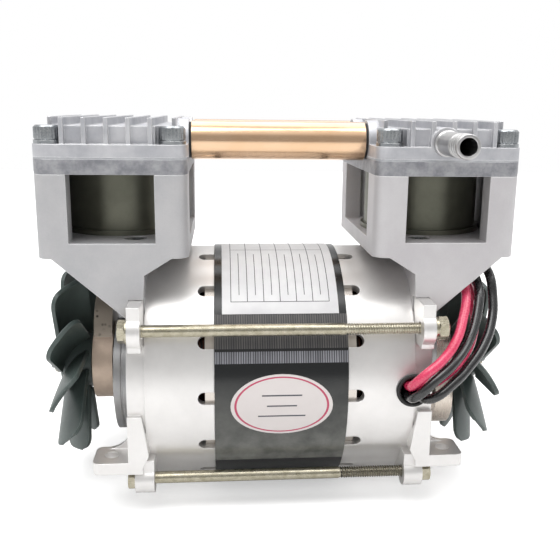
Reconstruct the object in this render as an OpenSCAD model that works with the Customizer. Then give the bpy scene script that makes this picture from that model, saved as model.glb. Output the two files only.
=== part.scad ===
// Twin-cylinder oil-free vacuum pump: a motor with a crankcase, a cylinder, a head and a fan at each end.
// Millimetres. X runs along the shaft, Y goes away from the front, Z is up.
// The origin lies under the middle of the shaft, on the surface that the pump stands on.

/* [Motor] */
// Outside radius of the lamination stack
stack_r = 51.8; // [50:0.1:54]
// Length of the full-size middle of the stack
stack_length = 53.2; // [46:0.2:60]
// Depth of the flat that the stack stands on
stack_flat = 1.3; // [0.8:0.1:1.8]
// Radial step down from the stack to its end spigots
spigot_step = 2.8; // [2:0.1:3.4]
// Length of each end spigot
spigot_length = 3.8; // [3:0.1:6]
// Number of winding slots
slot_count = 24; // [12:2:26]
// Width of a winding slot
slot_width = 3.6; // [2.6:0.1:4.2]
// Iron left behind the winding slots
back_iron = 8; // [7:0.1:9]
// Width of the mouth of a slot
slot_mouth = 1.6; // [1:0.1:2.2]
// Depth of the tooth tips
tooth_tip = 2.6; // [2:0.1:3.6]
// Radial air gap round the rotor
air_gap = 0.4; // [0.3:0.05:0.6]
// Length of the rotor core
rotor_length = 54; // [48:1:58]
// Length of the end turns past the stack
end_turn_length = 13.2; // [10:0.2:15]

/* [End bells] */
// Radial step down from the stack to a bell
bell_step = 0.6; // [0.4:0.1:1]
// Wall of a bell
bell_wall = 4.2; // [3:0.1:4.6]
// Length of a bell
bell_length = 34.4; // [32:0.2:38]
// Radial step down from a bell to its rim
rim_step = 1; // [0.4:0.1:1.6]
// Thickness of the end wall, and length of the rim
end_wall = 7; // [6:0.1:9]
// Radius of the bearing hub
hub_r = 26; // [23:0.5:28]
// Length of the bearing hub inside the bell
hub_length = 8; // [5.5:0.5:9]
// Width of a vent
vent_width = 5.2; // [4:0.1:6]
// Length of a vent with its round end
vent_length = 6.6; // [6:0.1:9]
// Vents on each side of a bell
vent_count = 7; // [3:2:7]
// Angle between vents
vent_pitch = 25; // [18:1:26]

/* [Feet] */
// Height of the undersides of the feet above the lowest point of the rim
foot_lift = 18.8; // [17.2:0.1:20.2]
// Thickness of a foot
foot_t = 5; // [4:0.1:6]
// Width of a foot
foot_width = 15.8; // [14:0.1:17]
// Reach of a foot past the rim face
foot_reach = 14.3; // [12:0.1:18]
// Corner radius of a foot
foot_corner = 3; // [1:0.1:4]
// Radius of a foot hole
foot_hole_r = 2.9; // [2.2:0.1:3.4]
// Thickness of the riser above a foot
riser_t = 5.7; // [4:0.1:6.6]

/* [Through bolts] */
// Radius of a through bolt
bolt_r = 2.4; // [2:0.1:2.6]
// Distance of the upper bolts from the stack's surface
upper_bolt_gap = 5.9; // [5.9:0.1:7]
// Angle of the upper bolts above the shaft
upper_bolt_angle = 28.8; // [28:0.1:29.4]
// Distance of the lower bolts from the stack's surface
lower_bolt_gap = 6.5; // [6.5:0.1:7.5]
// Angle of the lower bolts below the shaft
lower_bolt_angle = 37.9; // [37.4:0.1:38.4]
// Width across the flats of the bolt heads and nuts
bolt_flats = 8.2; // [7:0.1:8.6]

/* [Crank and bearings] */
// Outside radius of a main bearing
bearing_r = 20; // [18.5:0.1:21]
// Width of a main bearing
bearing_width = 12; // [10:0.2:12]
// Shaft radius in the main bearings
journal_r = 8.5; // [8:0.1:9]
// Shaft radius in the rotor core
core_shaft_r = 10; // [9.2:0.1:12]
// Shaft radius outside the bearings
end_shaft_r = 6; // [5:0.1:6.2]
// Half of the stroke
crank_throw = 5; // [3:0.1:5.4]
// Crankpin radius
pin_r = 12.5; // [12.5:0.1:13]
// Crankpin length
pin_length = 9.7; // [9:0.1:11]
// Outside radius of a crank bearing
crank_bearing_r = 23.5; // [23:0.1:24.5]
// Width of a crank bearing
crank_bearing_width = 8; // [7:0.1:8.4]
// Radius of a counterweight
weight_r = 31.4; // [29:0.1:33]
// Thickness of a counterweight
weight_t = 8.7; // [7:0.1:10]
// Radius of the hub of a counterweight
weight_hub_r = 17.2; // [15:0.1:18.5]
// Radius of the lobe of a counterweight
weight_lobe_r = 16.4; // [14:0.1:17]

/* [Rods and pistons] */
// Ring wall of a connecting rod
rod_ring_wall = 3; // [2.4:0.1:3.6]
// Thickness of a connecting rod along the shaft
rod_t = 6.8; // [6:0.1:7.4]
// Width of a rod shank
rod_width = 12; // [9:0.5:13]
// Wall of a cylinder liner
liner_wall = 3; // [2.4:0.1:3.2]
// Thickness of a piston
piston_t = 4; // [3:0.1:5]
// Running gap between the cup seal and the bore
seal_gap = 0.3; // [0.2:0.05:0.4]

/* [Crankcases] */
// Distance of a cylinder's middle from the rim face
cylinder_offset = 4; // [3:0.1:5]
// Length of a crankcase along the shaft
case_length = 57.5; // [56:0.1:59]
// Distance of the front of a crankcase behind the front of the stack
case_inset = 8.1; // [7:0.1:9]
// Height of a crankcase above the stack
case_gap = 2.9; // [2.2:0.1:5.2]
// Height of a crankcase
case_height = 32.1; // [31:0.1:36]
// Thickness of the floor of a crankcase
case_floor = 6; // [5.4:0.1:7]
// Corner radius of a crankcase
case_corner = 5.6; // [4:0.1:6]
// Width of a post beside the front and rear windows
post_width = 12.4; // [12.2:0.1:13.8]
// Width of a post beside the side windows
side_post_width = 16.4; // [15.6:0.1:17.2]
// Distance of the liner's lip from the edge of a crankcase
lip_inset = 2.75; // [2.6:0.05:3.6]
// Thickness of the webs
web_t = 4.5; // [3.6:0.1:4.6]

/* [Heads] */
// Thickness of a valve plate
plate_t = 5.7; // [5:0.1:7]
// Thickness of a head gasket
gasket_t = 0.6; // [0.4:0.1:1]
// Thickness of a head's flange
flange_t = 4.9; // [4:0.1:6]
// Height of the chamber above the flange
chamber_height = 6.7; // [6.4:0.1:9]
// Height of the fins above the chamber
fin_height = 3.1; // [1.5:0.1:5]
// Thickness of a fin
fin_t = 1.6; // [1.2:0.1:2.4]
// Wall of the head's chambers
head_wall = 2.5; // [2:0.1:3]
// Shank radius of a head screw
head_screw_r = 2.9; // [2.4:0.1:3]
// Radius of the head of a head screw
screw_cap_r = 5; // [4.4:0.1:5.1]

/* [Tubes and barbs] */
// Outside radius of a transfer tube
tube_r = 7.8; // [6.8:0.1:8]
// Bore radius of a transfer tube
tube_bore_r = 3.5; // [3:0.1:3.8]
// Distance of a transfer tube from the middle
tube_y = 17.3; // [16:0.1:19]
// Outside radius of a hose barb
barb_r = 4.6; // [4.2:0.05:4.9]
// Bore radius of a hose barb
barb_bore_r = 3.2; // [2.8:0.05:3.4]
// Length of a hose barb past the head
barb_length = 27; // [20:0.5:32]

/* [Fans] */
// Radius of a fan
fan_r = 40; // [37:0.1:40.4]
// Radius of a fan's hub
fan_hub_r = 12.5; // [11.5:0.1:13]
// Length of a fan's hub
fan_hub_length = 14; // [13:0.1:15]
// Blades on a fan
blade_count = 10; // [6:1:10]
// Thickness of a blade
blade_t = 1.8; // [1.4:0.1:2.2]

/* [Leads] */
// Thickness of a motor lead
lead_d = 3.9; // [3:0.1:3.9]
// Radius of the cable hole in the right bell
cable_hole_r = 6.1; // [6.1:0.1:6.3]

/* [Hidden] */
$fn = 64;
over = 1;
seat_fit = 0.05;
hole_fit = 0.2;
face_gap = 0.3;

// Heights and places along the shaft, all from the sizes above
axis_z = stack_r - stack_flat;
stack_half = stack_length / 2;
spigot_end = stack_half + spigot_length;
spigot_r = stack_r - spigot_step;
bell_r = stack_r - bell_step;
cavity_r = bell_r - bell_wall;
rim_r = bell_r - rim_step;
rim_face = stack_half + bell_length;
rim_start = rim_face - end_wall;
hub_start = rim_start - hub_length;
cylinder_x = rim_face + cylinder_offset;
case_inner = cylinder_x - case_length / 2;
case_depth = 2 * (stack_r - case_inset);
case_z = axis_z + stack_r + case_gap;
floor_z = case_z + case_floor;
deck_z = case_z + case_height;
gasket_z = deck_z + plate_t;
flange_z = gasket_z + gasket_t;
flange_top = flange_z + flange_t;
chamber_top = flange_top + chamber_height;

// Stator, windings and rotor
slot_liner = 0.3;
stator_bore_share = 0.529;
stator_bore_r = stack_r * stator_bore_share;
slot_base_r = stator_bore_r + tooth_tip;
slot_end_r = spigot_r - back_iron;
winding_step = 2.6;
winding_r = slot_end_r + winding_step;
winding_inner_r = slot_base_r + slot_liner;
winding_start = spigot_end + slot_liner;
winding_end = spigot_end + end_turn_length;
winding_round = 1.6;
rotor_r = stator_bore_r - air_gap;
end_ring_t = 6;
end_ring_inner_r = 17;

// Bearings
bearing_start = rim_face - bearing_width;
shaft_bore_gap = 2;
race_depth = 1.1;
ball_r = 3.4;
ball_pitch_r = (journal_r + bearing_r) / 2;
ball_count = 8;
crank_ball_r = 3;
crank_ball_pitch_r = (pin_r + crank_bearing_r) / 2;
crank_ball_count = 12;
ball_gap = 0.1;
shield_t = 0.6;
shield_inset = 0.3;
shield_gap = 0.4;

// Crank, counterweight and fan along the shaft
pin_gap = 0.2;
pin_start = rim_face + pin_gap;
pin_end = pin_start + pin_length;
rod_x = pin_start + pin_length / 2;
weight_end = pin_end + weight_t;
fan_gap = 1;
fan_start = weight_end + fan_gap;
fan_end = fan_start + fan_hub_length;
fan_nut_t = 3.6;
fan_nut_flats = 11;
fan_thread_r = 4;
shaft_tip = 1.6;
shaft_end = fan_end + fan_nut_t + shaft_tip;
set_screw_r = 3;
set_socket_flats = 3;
set_socket_depth = 4;
weight_turn = 22;
weight_face_step = 0.4;

// Feet and risers
foot_z = axis_z - rim_r + foot_lift;
foot_edge = stack_r;
foot_hole_inset = 7.9;
foot_hole_y = foot_edge - foot_hole_inset;
foot_hole_reach = 7.5;
riser_rise = 24.3;
riser_start = rim_face - riser_t;
facet_depth = 2.5;
facet_rise = 7.6;
gusset_r = 10;
gusset_t = 2.4;

// Lugs for the through bolts, heads, nuts and washers
upper_bolt_y = (stack_r + upper_bolt_gap) * cos(upper_bolt_angle);
upper_bolt_rise = (stack_r + upper_bolt_gap) * sin(upper_bolt_angle);
lower_bolt_y = (stack_r + lower_bolt_gap) * cos(lower_bolt_angle);
lower_bolt_drop = (stack_r + lower_bolt_gap) * sin(lower_bolt_angle);
upper_lug_t = 5;
upper_lug_inset = 1.6;
upper_lug_r = 7;
upper_lug_top = 10.5;
upper_lug_bottom = 7.3;
upper_lug_out = 4.5;
upper_lug_depth = 15;
lower_lug_t = 7.7;
lower_lug_inset = 2.3;
lower_lug_r = 5.8;
lower_lug_depth = 16;
lower_lug_out = 4;
lower_lug_top = 9.3;
lower_lug_bottom = 2.7;
bolt_head_t = 3;
bolt_nut_t = 3.9;
washer_t = 0.9;
washer_r = 5;
spring_washer_t = 1.2;
spring_washer_r = 4.2;
bolt_tip = 1;

// Crankcase details
wall_front = 8.2;
wall_side = 7.2;
outer_wall_t = 2.2;
post_boss_r = 6.5;
liner_seat_depth = 2;
liner_lip_r = case_length / 2 - lip_inset;
liner_lip_width = 1.5;
liner_lip_t = 2;
liner_r = liner_lip_r - liner_lip_width;
bore_r = liner_r - liner_wall;
rod_hole_step = 0.5;
rod_hole_r = bore_r - rod_hole_step;
rod_hole_drop = 3;
web_reach = 23.1;
web_tip_cover = 6.3;
web_tip_rise = sqrt(pow(rim_r, 2) - pow(case_depth / 2, 2)) + web_tip_cover;
web_slot_rise = upper_bolt_rise + upper_lug_top + hole_fit;
web_step_drop = 2.2;
web_step_rise = rim_r - web_step_drop;
web_step_inset = 0.6;
web_toe_reach = 6.5;
case_screw_y = 30.5;
case_screw_r = 2.5;
case_screw_cap_r = 4.3;
case_screw_cap_t = 5;
case_screw_depth = 14;
case_socket_flats = 4;
case_socket_depth = 2.5;
counterbore_gap = 0.3;

// Rod and piston: the rod's top and the piston are kept apart by more than the stroke, so both can move
rod_shank_t = 6;
rod_top_r = 10.5;
rod_top_t = 2.5;
linkage_gap = 0.8;
piston_clearance = 1;
seal_t = 1.2;
seal_lip = 3;
seal_lip_wall = 1.2;
retainer_t = 2.1;
retainer_step = 3.6;
piston_step = 2.4;
piston_screw_r = 2.5;
piston_screw_cap_r = 4.2;
piston_screw_depth = 3;
seal_r = bore_r - seal_gap;
piston_top = deck_z - piston_clearance - seal_gap;
seal_z = piston_top - seal_lip - seal_t;
piston_z = seal_z - piston_t;
rod_top = piston_z - 2 * crank_throw - linkage_gap;
groove_depth = 0.6;
groove_width = 1;

// Valve plate: ports, reeds, stops and rivets
port_r = 2.4;
port_x = 5;
port_y = 11;
reed_t = 0.3;
reed_pocket = 0.9;
reed_width = 17;
reed_start = 3;
reed_end = 16;
stop_t = 1.4;
stop_lift = 1.8;
rivet_r = 1.2;
rivet_y = 5;
rivet_cap_r = 2;
rivet_cap_t = 0.5;

// Head details
head_screw_x = case_length / 2 - case_corner;
head_screw_y = case_depth / 2 - case_corner;
head_screw_depth = 20;
head_washer_t = 1.4;
head_washer_r = 5.2;
screw_cap_t = 5.4;
socket_flats = 5;
socket_depth = 3;
chamber_edge = 3.25;
chamber_end = 12.2;
chamber_nose_gap = 1.15;
chamber_nose_x = head_screw_x - screw_cap_r - chamber_nose_gap;
chamber_x = case_length / 2 - chamber_edge;
chamber_y = case_depth / 2 - chamber_end;
chamber_nose_inset = 2.7;
chamber_nose_y = case_depth / 2 - chamber_nose_inset;
fin_inset = 0.7;
fin_y = case_depth / 2 - fin_inset;
fin_count = 5;
fin_start_gap = 2.15;
fin_end_gap = 0.15;
fin_first = -head_screw_x + screw_cap_r + fin_t / 2 + fin_start_gap;
fin_last = head_screw_x - screw_cap_r - fin_t / 2 - fin_end_gap;
fin_pitch = (fin_last - fin_first) / (fin_count - 1);
outer_fin_inset = 2;
outer_fin_x = chamber_x - outer_fin_inset;
chamber_rib = 4;
port_boss_r = 8.6;
port_boss_length = 6;
spigot_tube_r = 5;
spigot_tube_length = 5.7;
tube_rise = 0.9;
tube_z = flange_top + tube_rise;
ring_t = 1;
ring_r = 7.2;
barb_x = 2.2;
barb_rise = 1.5;
barb_z = flange_top + barb_rise;
barb_boss_r = 6;
barb_seat = 6;
barb_base_r = 5.1;
barb_base_length = 3;

// Fan blades
blade_x = 11.7;
blade_span = 16.3;
blade_camber = 2.6;
blade_corner = 5;
blade_inset = 0.9;
blade_steps = 6;
blade_root = 1.5;
fan_nose = 3;
fan_nose_step = 2;
left_fan_turn = 31;
right_fan_turn = 1.4;

// Labels
label_t = 0.2;
label_seat = 0.05;
rating_half = 23.5;
rating_angle = 52.5;
oval_half = 20.4;
oval_angle = 14.45;
oval_middle = -3.65;
oval_points = 48;

// Grommet and leads
cable_hole_x = 8;
cable_hole_rise = 2;
cable_hole_depth = 16;
grommet_wall = 0.9;
grommet_flange_r = 7.1;
grommet_flange_t = 1.2;
grommet_depth = 3.5;
lead_sides = 8;
terminal_r = 2.9;
terminal_length = 12;
terminal_lift = 0.1;
terminal_gap = 1.1;
terminal_mouth = 6;
terminal_slot = 2.4;
terminal_slot_t = 0.6;

// Routes of the leads, from the windings out through the hole, up, over to the rear and down
red_a_route = [
    [44, -40.4, 54.6], [48.7, -42.6, 54.6], [50.9, -47.4, 54.6], [51, -53, 54.8], [51.3, -58.6, 57.7],
    [54.7, -61, 62.4], [61.4, -59.4, 67.4], [68.5, -54, 74.1], [72.6, -48, 81.2], [75.7, -41, 88.4],
    [76.3, -33, 94.1], [75.9, -18, 97.9], [75.6, 0, 98.8], [75.4, 18, 97.4], [74.4, 34, 92],
    [73, 47, 84], [69, 58.4, 71], [61, 65, 56], [54, 67, 40.6], [47, 68, 24.6], [40, 70, 9.4],
    [31, 73.6, 2.2]];
black_a_route = [
    [44, -40.4, 50.4], [48.7, -42.6, 50.4], [50.9, -47.4, 50.4], [51, -53, 50.3], [52.4, -59.8, 53.3],
    [58.7, -61.6, 60.2], [66, -59, 65.6], [74.1, -52, 72.8], [79, -45.5, 81.5], [81.6, -38.5, 91],
    [81.4, -29, 96.6], [80.4, -15, 98.8], [79.6, 2, 99.2], [79.5, 19, 98], [79, 35.5, 92.6],
    [77.4, 50, 83.6], [73, 62.4, 70], [65, 69, 55], [58, 71, 39.4], [51, 72, 23.4], [43.6, 75, 8.6],
    [33, 80, 2.2]];
red_b_route = [
    [44, -36.2, 54.6], [51.9, -39.1, 54.6], [55.1, -47.2, 54.6], [55.2, -52.8, 54.6],
    [57.6, -56.8, 56.7], [65.2, -55.9, 60.8], [71.7, -52.9, 66.4], [77.6, -46, 72.6],
    [80.2, -39.6, 81], [80, -33, 88.8], [78.8, -24.9, 93], [77.8, -10, 94.6], [77.6, 6, 94.8],
    [77.6, 21, 93], [76.6, 34.4, 87.6], [75.4, 46.4, 78], [72, 56.4, 64], [65.6, 61.4, 49],
    [58.4, 62.4, 34], [51, 62.6, 19], [43, 63.6, 6], [32, 66.6, 2.2]];
black_b_route = [
    [44, -36.2, 50.4], [51.9, -39.1, 50.4], [55.1, -47.2, 50.4], [55.2, -53, 50.5],
    [58.8, -59.4, 52.2], [66.7, -59.1, 58], [74.1, -55.1, 63.5], [81, -50.4, 70.6], [85.6, -45, 79],
    [87.2, -40, 88], [86.7, -34.6, 97], [85.4, -21, 99.4], [84, -4, 99.8], [83.7, 14, 99.2],
    [83.4, 31, 95], [83, 46, 85], [80, 60, 72], [73, 70, 57], [65, 75, 41.6], [57.6, 76.6, 25.6],
    [50, 79, 9.6], [40, 86, 2.2]];

// Helpers: solids along an axis, and blocks given by two corners
module xrod(r, x0, x1) { translate([x0, 0, 0]) rotate([0, 90, 0]) cylinder(r = r, h = x1 - x0); }
module yrod(r, y0, y1) { translate([0, y1, 0]) rotate([90, 0, 0]) cylinder(r = r, h = y1 - y0); }
module zrod(r, z0, z1) { translate([0, 0, z0]) cylinder(r = r, h = z1 - z0); }
module block(low, high) { translate(low) cube(high - low); }
module xring(r, bore, x0, x1) {
    difference() {
        xrod(r, x0, x1);
        xrod(bore, x0 - over, x1 + over);
    }
}
module zring(r, bore, z0, z1) {
    difference() {
        zrod(r, z0, z1);
        zrod(bore, z0 - over, z1 + over);
    }
}
module at_axis() { translate([0, 0, axis_z]) children(); }
module at_cylinder() { translate([cylinder_x, 0, 0]) children(); }
module flipped_x() { mirror([1, 0, 0]) children(); }
module both_x() { children(); mirror([1, 0, 0]) children(); }
module both_y() { children(); mirror([0, 1, 0]) children(); }
module four_corners() { both_x() both_y() children(); }
module xhex(flats, x0, x1) {
    translate([x0, 0, 0]) rotate([0, 90, 0]) cylinder(r = flats / sqrt(3), h = x1 - x0, $fn = 6);
}
// A flat plate of half sizes hx and hy with round corners
module rounded(hx, hy, r) {
    difference() {
        square([2 * hx, 2 * hy], center = true);
        four_corners() translate([hx - r, hy - r]) difference() {
            square(r + over);
            circle(r);
        }
    }
}
module rounded_plate(hx, hy, r, z0, z1) {
    translate([0, 0, z0]) linear_extrude(z1 - z0) rounded(hx, hy, r);
}

// Stator: laminations with slots, a bright spigot at each end and a flat below
module stator_core() {
    color("dimgray") at_axis() difference() {
        union() {
            xrod(stack_r, -stack_half, stack_half);
            xrod(spigot_r, -spigot_end, spigot_end);
        }
        xrod(stator_bore_r, -spigot_end - over, spigot_end + over);
        for (i = [0 : slot_count - 1]) rotate([i * 360 / slot_count, 0, 0]) {
            block([-spigot_end - over, -slot_width / 2, slot_base_r],
                [spigot_end + over, slot_width / 2, slot_end_r]);
            block([-spigot_end - over, -slot_mouth / 2, stator_bore_r - over],
                [spigot_end + over, slot_mouth / 2, slot_base_r + over]);
        }
        block([-spigot_end - over, -stack_r, -stack_r - over], [spigot_end + over, stack_r, -axis_z]);
    }
}

module stator_windings() {
    color("orangered") at_axis() {
        for (i = [0 : slot_count - 1]) rotate([i * 360 / slot_count, 0, 0])
            block([-winding_start - over, -slot_width / 2 + slot_liner, winding_inner_r],
                [winding_start + over, slot_width / 2 - slot_liner, slot_end_r - slot_liner]);
        both_x() rotate([0, 90, 0]) rotate_extrude() end_turn_section();
    }
}
// Section of an end-turn ring: radius across, distance along the shaft up, with its outer corners rounded
module end_turn_section() {
    difference() {
        translate([winding_inner_r, winding_start])
            square([winding_r - winding_inner_r, winding_end - winding_start]);
        for (r = [winding_inner_r, winding_r]) translate([r, winding_end])
            rotate(45) square(winding_round, center = true);
    }
}

// End bell for the right side; the left one is its mirror image without the cable hole
module end_bell(cable_hole) {
    difference() {
        bell_casting();
        at_axis() {
            xrod(spigot_r + seat_fit, stack_half - over, spigot_end + seat_fit);
            xrod(cavity_r, spigot_end, hub_start);
            xring(cavity_r, hub_r, hub_start - over, rim_start);
            xrod(core_shaft_r + shaft_bore_gap, hub_start - over, rim_face + over);
            xrod(bearing_r + seat_fit, bearing_start - seat_fit, rim_face + over);
            for (side = [0, 180], i = [0 : vent_count - 1])
                rotate([side + (i - (vent_count - 1) / 2) * vent_pitch, 0, 0]) vent();
        }
        block([stack_half - over, -bell_r, -bell_r], [rim_face + foot_reach + over, bell_r, 0]);
        both_y() {
            translate([0, -upper_bolt_y, axis_z + upper_bolt_rise])
                xrod(bolt_r + hole_fit, rim_start - over, rim_face);
            translate([0, -lower_bolt_y, axis_z - lower_bolt_drop])
                xrod(bolt_r + hole_fit, hub_start, rim_face + over);
            translate([rim_face + foot_hole_reach, -foot_hole_y, 0])
                zrod(foot_hole_r, foot_z - over, foot_z + foot_t + over);
            translate([rim_start + end_wall / 2, -case_screw_y, 0])
                zrod(case_screw_r + seat_fit, axis_z + case_screw_y - case_screw_depth, case_z);
        }
        if (cable_hole) translate([rim_face - cable_hole_x, 0, axis_z + cable_hole_rise])
            yrod(cable_hole_r, -bell_r - over, -bell_r + cable_hole_depth);
    }
}
module bell_casting() {
    at_axis() {
        xrod(bell_r, stack_half, rim_start);
        xrod(rim_r, rim_start - over, rim_face);
    }
    both_y() {
        upper_lug();
        lower_lug();
        foot();
    }
}
// A vent is open at the stack and round at its other end
module vent() {
    block([stack_half - over, -bell_r - over, -vent_width / 2],
        [stack_half + vent_length - vent_width / 2, -spigot_r + spigot_step, vent_width / 2]);
    translate([stack_half + vent_length - vent_width / 2, 0, 0])
        yrod(vent_width / 2, -bell_r - over, -spigot_r + spigot_step);
}
module upper_lug() {
    face = rim_face - upper_lug_inset;
    translate([0, -upper_bolt_y, axis_z + upper_bolt_rise]) {
        xrod(upper_lug_r, face - upper_lug_t, face);
        block([face - upper_lug_t, -upper_lug_out, -upper_lug_bottom],
            [face, upper_lug_depth - upper_lug_out, upper_lug_top]);
    }
}
module lower_lug() {
    face = rim_face - lower_lug_inset;
    translate([0, -lower_bolt_y, axis_z - lower_bolt_drop]) {
        xrod(lower_lug_r, face - lower_lug_t, face);
        block([face - lower_lug_t, -lower_lug_out, -lower_lug_bottom],
            [face, lower_lug_depth - lower_lug_out, lower_lug_top]);
    }
}
module foot() {
    inner = foot_edge - foot_width;
    end = rim_face + foot_reach;
    translate([0, 0, foot_z]) linear_extrude(foot_t) {
        translate([riser_start, -foot_edge]) square([end - foot_corner - riser_start, foot_width]);
        translate([end - foot_corner - over, -foot_edge + foot_corner])
            square([foot_corner + over, foot_width - 2 * foot_corner]);
        for (y = [-foot_edge, -inner - 2 * foot_corner]) translate([end - foot_corner, y + foot_corner])
            circle(foot_corner);
    }
    block([riser_start, -foot_edge, foot_z], [rim_face, -inner, foot_z + riser_rise]);
    translate([0, -inner, foot_z]) rotate([90, 0, 0]) linear_extrude(foot_width) polygon([
        [riser_start, riser_rise], [riser_start - facet_depth, facet_rise],
        [riser_start + facet_depth / 2, 0], [riser_start + facet_depth, riser_rise]]);
    difference() {
        block([rim_face - over, -inner - gusset_t, foot_z + foot_t - over],
            [rim_face + gusset_r, -inner, foot_z + foot_t + gusset_r]);
        translate([rim_face + gusset_r, 0, foot_z + foot_t + gusset_r])
            yrod(gusset_r, -foot_edge - over, -inner + over);
    }
}
module left_end_bell() { color("gainsboro") flipped_x() end_bell(false); }
module right_end_bell() { color("gainsboro") end_bell(true); }

// Through bolts: heads on the left, nuts on the right
upper_face = rim_face - upper_lug_inset;
lower_face = rim_face - lower_lug_inset;
upper_seat = upper_face + washer_t;
upper_nut = upper_seat + spring_washer_t;
module upper_bolt_lines() { both_y() translate([0, -upper_bolt_y, axis_z + upper_bolt_rise]) children(); }
module lower_bolt_lines() { both_y() translate([0, -lower_bolt_y, axis_z - lower_bolt_drop]) children(); }
module through_bolts() {
    color("khaki") {
        upper_bolt_lines() {
            xrod(bolt_r, -upper_seat, upper_nut + bolt_nut_t + bolt_tip);
            rotate([30, 0, 0]) xhex(bolt_flats, -upper_seat - bolt_head_t, -upper_seat);
        }
        lower_bolt_lines() {
            xrod(bolt_r, -lower_face, lower_face + bolt_nut_t);
            rotate([30, 0, 0]) xhex(bolt_flats, -lower_face - bolt_head_t, -lower_face);
        }
    }
}
module bolt_nut(x) {
    difference() {
        rotate([30, 0, 0]) xhex(bolt_flats, x, x + bolt_nut_t);
        xrod(bolt_r + seat_fit, x - over, x + bolt_nut_t + over);
    }
}
module through_bolt_nuts() {
    color("silver") {
        upper_bolt_lines() bolt_nut(upper_nut);
        lower_bolt_lines() bolt_nut(lower_face);
    }
}
module through_bolt_washers() {
    color("silver") upper_bolt_lines() {
        both_x() xring(washer_r, bolt_r + seat_fit, upper_face, upper_seat);
        xring(spring_washer_r, bolt_r + seat_fit, upper_seat, upper_nut);
    }
}

// Crankcase for the right side
module crankcase() {
    difference() {
        union() {
            case_frame();
            case_webs();
            block([rim_start, -case_depth / 2, axis_z + web_tip_rise],
                [rim_face, case_depth / 2, case_z + over]);
        }
        at_axis() xrod(rim_r + seat_fit, rim_start - over, rim_face + seat_fit);
        at_axis() xrod(bell_r + seat_fit, stack_half, rim_start);
        at_cylinder() zrod(rod_hole_r, case_z - rod_hole_drop, case_z + over);
        both_y() block([rim_start - over, -case_depth / 2 - over, axis_z + web_tip_rise - over],
            [rim_face - upper_lug_inset + face_gap, -case_depth / 2 + web_t + seat_fit,
                axis_z + web_slot_rise]);
        both_y() translate([rim_start + end_wall / 2, -case_screw_y, 0]) {
            zrod(case_screw_r + seat_fit, axis_z, floor_z);
            zrod(case_screw_cap_r + counterbore_gap, floor_z - case_screw_cap_t - counterbore_gap,
                floor_z + over);
        }
    }
}
// Floor with the seat of the liner, four posts round open windows and a closed outer side
module case_frame() {
    hx = case_length / 2;
    hy = case_depth / 2;
    at_cylinder() difference() {
        intersection() {
            rounded_plate(hx, hy, case_corner, case_z, deck_z);
            union() {
                rounded_plate(hx, hy, case_corner, case_z, floor_z);
                four_corners() case_post(hx, hy);
                block([hx - outer_wall_t, -hy, floor_z - over], [hx, hy, deck_z]);
            }
        }
        zrod(rod_hole_r, case_z - over, floor_z + over);
        zrod(liner_r + seat_fit, floor_z - liner_seat_depth, floor_z + over);
        four_corners() translate([head_screw_x, head_screw_y, 0])
            zrod(head_screw_r + seat_fit, deck_z - head_screw_depth, deck_z + over);
    }
}
module case_post(hx, hy) {
    block([hx - post_width, hy - wall_front, floor_z - over], [hx, hy, deck_z]);
    block([hx - wall_side, hy - side_post_width, floor_z - over], [hx, hy, deck_z]);
    translate([head_screw_x, head_screw_y, 0]) zrod(post_boss_r, floor_z - over, deck_z);
}
// Triangular webs, front and rear, that hang from the floor and reach down over the rim
module case_webs() {
    both_y() translate([0, -case_depth / 2 + web_t, 0]) rotate([90, 0, 0]) linear_extrude(web_t) polygon([
        [cylinder_x + web_reach, case_z], [rim_face, axis_z + web_tip_rise],
        [rim_face - upper_lug_inset, axis_z + web_slot_rise], [rim_start, axis_z + web_slot_rise],
        [rim_start - web_step_inset, axis_z + web_step_rise], [case_inner + web_toe_reach, case_z]]);
}
module left_crankcase() { color("darkgray") flipped_x() crankcase(); }
module right_crankcase() { color("darkgray") crankcase(); }

module crankcase_screws() {
    top = floor_z - counterbore_gap;
    color("silver") four_corners() translate([rim_start + end_wall / 2, -case_screw_y, 0]) {
        zrod(case_screw_r, axis_z + case_screw_y - case_screw_depth + seat_fit, top - over);
        difference() {
            zrod(case_screw_cap_r, floor_z - case_screw_cap_t - counterbore_gap, top);
            translate([0, 0, top - case_socket_depth])
                cylinder(r = case_socket_flats / sqrt(3), h = case_socket_depth + over, $fn = 6);
        }
    }
}

module cylinder_liner() {
    at_cylinder() difference() {
        union() {
            zrod(liner_r, floor_z - liner_seat_depth, deck_z);
            zrod(liner_lip_r, floor_z, floor_z + liner_lip_t);
        }
        zrod(bore_r, floor_z - liner_seat_depth - over, deck_z + over);
    }
}
module left_cylinder_liner() { color("darkolivegreen") flipped_x() cylinder_liner(); }
module right_cylinder_liner() { color("darkolivegreen") cylinder_liner(); }

// Holes for the head screws, through everything between the head and the posts
module head_screw_holes(z0, z1) {
    four_corners_of_head() zrod(head_screw_r + hole_fit, z0, z1);
}
module four_corners_of_head() { both_x() both_y() translate([head_screw_x, head_screw_y, 0]) children(); }

// Valve plate: intake ports in front with a pocket for the reed below, exhaust ports behind
module valve_plate() {
    at_cylinder() difference() {
        rounded_plate(case_length / 2, case_depth / 2, case_corner, deck_z, gasket_z);
        head_screw_holes(deck_z - over, gasket_z + over);
        for (x = [-port_x, port_x], y = [-port_y, port_y]) translate([x, y, 0])
            zrod(port_r, deck_z - over, gasket_z + over);
        block([-reed_width / 2 - face_gap, -reed_end - face_gap, deck_z - over],
            [reed_width / 2 + face_gap, -reed_start + face_gap, deck_z + reed_pocket]);
        for (y = [-rivet_y, rivet_y]) translate([0, y, 0])
            zrod(rivet_r + seat_fit, deck_z - over, gasket_z + over);
    }
}
module left_valve_plate() { color("gray") flipped_x() valve_plate(); }
module right_valve_plate() { color("gray") valve_plate(); }

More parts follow.
